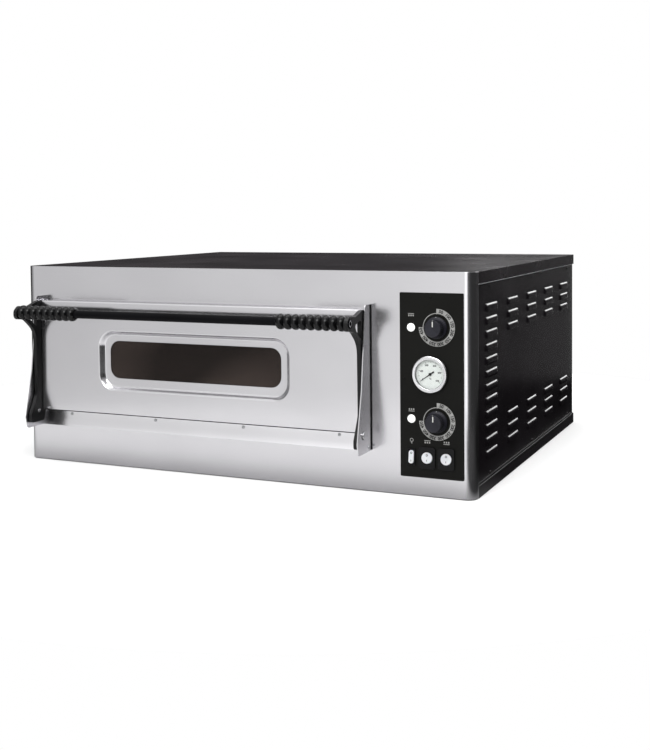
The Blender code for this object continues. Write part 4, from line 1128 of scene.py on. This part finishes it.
# %% Pan-head screws
def add_screw(work, where, radius=0.0032, tall=0.0016):
    """A cross-recess pan head standing on the placement's plane."""
    head = bmesh.new()
    cells = 5
    bmesh.ops.create_grid(head, x_segments=cells, y_segments=cells, size=radius * 0.62)
    for vert in head.verts:
        if vert.is_boundary:
            vert.co = vert.co.normalized() * radius * 0.78
        vert.co.z = tall - 0.10 * radius * (vert.co.xy.length / radius) ** 2
    half = radius * 0.62 / cells
    cross = [face for face in head.faces
             if min(abs(face.calc_center_median().x), abs(face.calc_center_median().y)) < half
             and face.calc_center_median().xy.length < 3.2 * half]
    pushed = bmesh.ops.extrude_face_region(head, geom=cross)
    bottom = [item for item in pushed["geom"] if isinstance(item, bmesh.types.BMVert)]
    bmesh.ops.translate(head, verts=bottom, vec=(0, 0, -tall * 0.55))
    bmesh.ops.delete(head, geom=cross, context="FACES")
    for reach, height in ((0.95, 0.62), (1.0, 0.30), (1.0, 0.0)):
        rim = [edge for edge in head.edges if edge.is_boundary]
        grown = bmesh.ops.extrude_edge_only(head, edges=rim)
        for item in grown["geom"]:
            if isinstance(item, bmesh.types.BMVert):
                flat = item.co.xy.normalized() * radius * reach
                item.co = (flat.x, flat.y, tall * height)
    rim = [edge for edge in head.edges if edge.is_boundary]
    bmesh.ops.contextual_create(head, geom=rim)
    bmesh.ops.recalc_face_normals(head, faces=head.faces)
    bmesh.ops.transform(head, matrix=where, verts=head.verts)
    mesh = bpy.data.meshes.new("head")
    head.to_mesh(mesh)
    head.free()
    work.from_mesh(mesh)
    bpy.data.meshes.remove(mesh)


print("screw helper ready")

# %% Screws of the strip, the cheeks and the panel
SILL_SCREWS = (0.0907, 0.3681, 0.6400, 0.9161)       # shares of the strip's length
PIN_HEAD = 0.0065
strip_low, strip_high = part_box("sill_strip")
strip_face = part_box("front_panel")[0].y - 0.0015
sill = bmesh.new()
for share in SILL_SCREWS:
    x = strip_low.x + share * (strip_high.x - strip_low.x)
    add_screw(sill, place(x, strip_face, strip_high.z - 0.0085, TO_FRONT))
make_piece(sill, "sill_screws", "casing", GALVANISED)

cheek_screws, washers = bmesh.new(), bmesh.new()
for side, sign in (("right", 1), ("left", -1)):
    low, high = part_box(f"cheek_{side}")
    outside = high.x if sign > 0 else low.x
    turn = outwards(sign)
    add_screw(cheek_screws, place(outside, high.y - 0.0125, low.z + 0.0075, turn), 0.0030, 0.0014)
    pin = centre(f"hinge_pin_{side}")
    add_ring(washers, place(outside, pin.y, pin.z, turn), PIN_HEAD - 0.0015, PIN_HEAD + 0.0016, 0.0002)
make_piece(cheek_screws, "cheek_screws", "casing", GALVANISED)
make_piece(washers, "pin_washers", "casing", PHENOLIC)

panel_screws = bmesh.new()
for x, z in ((gauge.x, PANEL_HIGH.z - 0.0090), (gauge.x - 0.0518, gauge.z - 0.0100),
             (gauge.x + 0.0565, gauge.z - 0.0090)):
    add_screw(panel_screws, on_panel(x, z), 0.0022, 0.0012)
make_piece(panel_screws, "panel_screws", "casing", PANEL_PAINT)

# %% [markdown]
# ## Casing screws and bright edges
# The side and rear sheets are screwed along their borders. Along the cover's lower edge a bright line is
# drawn as a slim softened bar of galvanised steel on each side.

# %% Screws of the casing and the cover's bright edges
REAR_COLUMNS = 5
REAR_INSET = 0.030           # rear screws in from the sheet's border
EDGE_TALL, EDGE_THICK = 0.0012, 0.0010
EDGE_SHORT = 0.020           # distance that the bright edge stops short of each corner
casing_screws = bmesh.new()
for side, sign in (("right", 1), ("left", -1)):
    low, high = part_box(f"side_panel_{side}")
    outside = high.x if sign > 0 else low.x
    turn = outwards(sign)
    for y in (low.y + 0.086, (low.y + high.y) / 2, high.y - 0.060):
        for z in (high.z - 0.0080, low.z + 0.0082):
            add_screw(casing_screws, place(outside, y, z, turn), 0.0030, 0.0016)
low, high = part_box("rear_panel")
for column in range(REAR_COLUMNS):
    x = low.x + REAR_INSET + column * (high.x - low.x - 2 * REAR_INSET) / (REAR_COLUMNS - 1)
    for z in (low.z + REAR_INSET, high.z - REAR_INSET):
        add_screw(casing_screws, place(x, high.y, z, TO_REAR), 0.0034, 0.0011)
make_piece(casing_screws, "casing_screws", "casing", SIDE_PAINT)

low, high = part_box("top_cover")
bright_edges = bmesh.new()
for x in (high.x - 0.0007, low.x + 0.0007):
    foot = Matrix.Translation((x, (low.y + high.y) / 2, low.z - EDGE_TALL - 0.0001))
    add_block(bright_edges, foot, EDGE_THICK, high.y - low.y - 2 * EDGE_SHORT, EDGE_TALL)
soften(bright_edges, 0.0002)
make_piece(bright_edges, "cover_bright_edges", "casing", GALVANISED)

# %% [markdown]
# ## Inside the oven
# With the door down the chamber shows: its lining, the deck of two stones on their rack, and the heating
# elements above and below. These shapes are already right, so they keep their form, and the stones get
# eased edges. The wiring gear and the insulation behind the sheets get their own finishes in the same way.

# %% Chamber and hidden parts
for node, finish, radius in (("chamber_side_left", LINING, 0.0), ("chamber_side_right", LINING, 0.0),
                             ("chamber_ceiling", LINING, 0.0), ("chamber_floor", LINING, 0.0),
                             ("chamber_rear", LINING, 0.0), ("stone_left", STONE, 0.0010),
                             ("stone_right", STONE, 0.0010), ("stone_rack", GALVANISED, 0.0),
                             ("element_upper", ELEMENT, 0.0), ("element_lower", ELEMENT, 0.0),
                             ("chamber_lamp", CLEAR_GLASS, 0.0), ("contactor", GREY_PLASTIC, 0.0010),
                             ("terminal_block", WHITE_PC, 0.0010), ("cable_gland", GLOSS_BLACK, 0.0005)):
    softened(node, finish, radius)
for part in ("left", "right", "rear", "top", "bottom"):
    softened(f"insulation_{part}", WOOL, 0.0)

# %% [markdown]
# ## Studio
# A pale round floor meets a white surround, as in a studio cove. Bright steel shows whatever it
# faces, so the surround that the steel mirrors is shaded on purpose: bright in front and overhead,
# dark to the right and at eye level behind. The camera itself sees plain white.

# %% Fades and the floor
def faded(material, *fades):
    """Fades multiplied together, each one (value, from, to, result at from, result at to)."""
    whole = None
    for value, low, high, at_low, at_high in fades:
        fade = add_node(material, "ShaderNodeMapRange", {"Value": value, "From Min": low, "From Max": high,
                                                         "To Min": at_low, "To Max": at_high})
        result = fade.outputs["Result"]
        if whole:
            product = add_node(material, "ShaderNodeMath", {0: whole, 1: result}, operation="MULTIPLY")
            result = product.outputs[0]
        whole = result
    return whole


floor_work = bmesh.new()
bmesh.ops.create_circle(floor_work, cap_ends=True, segments=96, radius=1.3)
floor_mesh = bpy.data.meshes.new("floor")
floor_work.to_mesh(floor_mesh)
floor_work.free()
floor_mesh.transform(Matrix.Translation((0, 0, -0.0005)))
floor = bpy.data.objects.new("floor", floor_mesh)
bpy.context.scene.collection.objects.link(floor)
floor_paint, floor_shader = start_material("floor_white_matt", Roughness=0.9)
mottle = add_node(floor_paint, "ShaderNodeValToRGB", {"Fac": noise(floor_paint, (3.0, 3.0, 3.0))},
                  stops=((0.3, "#F6F6F6"), (0.7, "#FAFAFA")))
floor_paint.node_tree.links.new(mottle.outputs["Color"], floor_shader.inputs["Base Color"])
floor_spot = add_node(floor_paint, "ShaderNodeTexCoord").outputs["Object"]
floor_axes = add_node(floor_paint, "ShaderNodeSeparateXYZ", {0: floor_spot})
# painted shade: mirrored rays see a bright floor in front of the oven and a dark one under it and beyond its
# right side
painted_shade_tone = faded(floor_paint, (floor_axes.outputs["Y"], -0.60, -0.20, 0.70, 0.05),
                      (floor_axes.outputs["X"], 0.47, 0.56, 1.0, 0.06))
subdued = add_node(floor_paint, "ShaderNodeBsdfDiffuse", {"Color": painted_shade_tone})
in_view = add_node(floor_paint, "ShaderNodeLightPath").outputs["Is Camera Ray"]
either = add_node(floor_paint, "ShaderNodeMixShader",
                  {0: in_view, 1: subdued.outputs["BSDF"], 2: floor_shader.outputs["BSDF"]})
floor_out = floor_paint.node_tree.nodes["Material Output"]
floor_paint.node_tree.links.new(either.outputs["Shader"], floor_out.inputs["Surface"])
floor_mesh.materials.append(floor_paint)
print("floor of radius 1.3 m")

# %% [markdown]
# ## Surround
# Every patch of the surround is a product of fades over the direction of a ray. The front wall is what the
# front and the door mirror. The corner glint draws the bright upright line on the front's rounded corner.
# Behind the oven a faint card tones the side panel, a bright strip just over the horizon lights the top of
# every louvre, and a narrow slit beside it draws the thin arcs at their ends. The dome lights the cover.

# %% Surround
world = bpy.data.worlds.new("studio")
bpy.context.scene.world = world
world.use_nodes = True
world.node_tree.nodes.clear()
GLOW_FROM = Vector((0.15, -0.99, 0.0))
FAINT = 0.03                 # light from everywhere else
way = add_node(world, "ShaderNodeTexCoord").outputs["Generated"]
axes = add_node(world, "ShaderNodeSeparateXYZ", {0: way})
toward_x, toward_y, up = (axes.outputs[name] for name in "XYZ")
turned_to_glow = add_node(world, "ShaderNodeVectorMath", {0: way, 1: GLOW_FROM}, operation="DOT_PRODUCT")
facing = turned_to_glow.outputs["Value"]
front_wall = faded(world, (facing, 0.40, 0.95, 0.40, 1.00), (facing, -0.1, 0.3, 0.0, 1.0),
                   (toward_x, 0.18, 0.33, 1.0, 0.07), (toward_x, 0.45, 0.85, 1.0, 0.08))
corner_glint = faded(world, (toward_x, -0.26, -0.10, 0.0, 0.7), (toward_x, 0.18, 0.36, 1.0, 0.0),
                     (toward_y, -0.8, -0.4, 1.0, 0.0))
rear_card = faded(world, (toward_x, 0.19, 0.26, 0.07, 0.0), (toward_y, 0.5, 0.8, 0.0, 1.0),
                  (toward_x, 0.06, 0.14, 0.0, 1.0))
rear_strip = faded(world, (up, 0.07, 0.17, 0.0, 4.5), (toward_y, 0.4, 0.7, 0.0, 1.0),
                   (toward_x, -0.06, 0.06, 0.0, 1.0), (up, 0.45, 0.60, 1.0, 0.0))
rear_slit = faded(world, (toward_x, -0.12, -0.06, 0.0, 1.4), (toward_y, 0.7, 0.9, 0.0, 1.0),
                  (toward_x, 0.03, 0.08, 1.0, 0.0))
dome = faded(world, (up, 0.25, 0.75, 0.0, 0.85))
shade = FAINT
for glow in (front_wall, corner_glint, rear_card, rear_strip, rear_slit, dome):
    shade = add_node(world, "ShaderNodeMath", {0: glow, 1: shade}, operation="ADD").outputs[0]
seen = add_node(world, "ShaderNodeLightPath").outputs["Is Camera Ray"]
mirrored_light = add_node(world, "ShaderNodeBackground", {"Color": WHITE, "Strength": shade})
plain_white = add_node(world, "ShaderNodeBackground", {"Color": WHITE, "Strength": 1.0})
picked = add_node(world, "ShaderNodeMixShader",
                  {0: seen, 1: mirrored_light.outputs[0], 2: plain_white.outputs[0]})
add_node(world, "ShaderNodeOutputWorld", {"Surface": picked.outputs[0]})
print("surround of six soft patches")

# %% Lamps
def area_lamp(name, spot, aim, width, tall, power):
    """A soft rectangular lamp that points at a spot."""
    data = bpy.data.lights.new(name, "AREA")
    data.shape = "RECTANGLE"
    data.size, data.size_y = width, tall
    data.energy = power
    lamp = bpy.data.objects.new(name, data)
    lamp.location = spot
    lamp.rotation_euler = (Vector(aim) - Vector(spot)).to_track_quat("-Z", "Y").to_euler()
    lamp.visible_camera = False
    bpy.context.scene.collection.objects.link(lamp)


area_lamp("overhead", (0.2, -0.2, 2.4), (0.0, 0.0, 0.2), 2.2, 1.6, 26.0)
area_lamp("front_key", (0.6, -2.8, 2.4), (0.0, -0.4, 0.2), 2.4, 1.4, 60.0)
area_lamp("rear_softbox", (0.3, 2.8, 1.5), (0.4, 0.0, 0.3), 1.8, 0.8, 6.0)
print("three soft lamps")
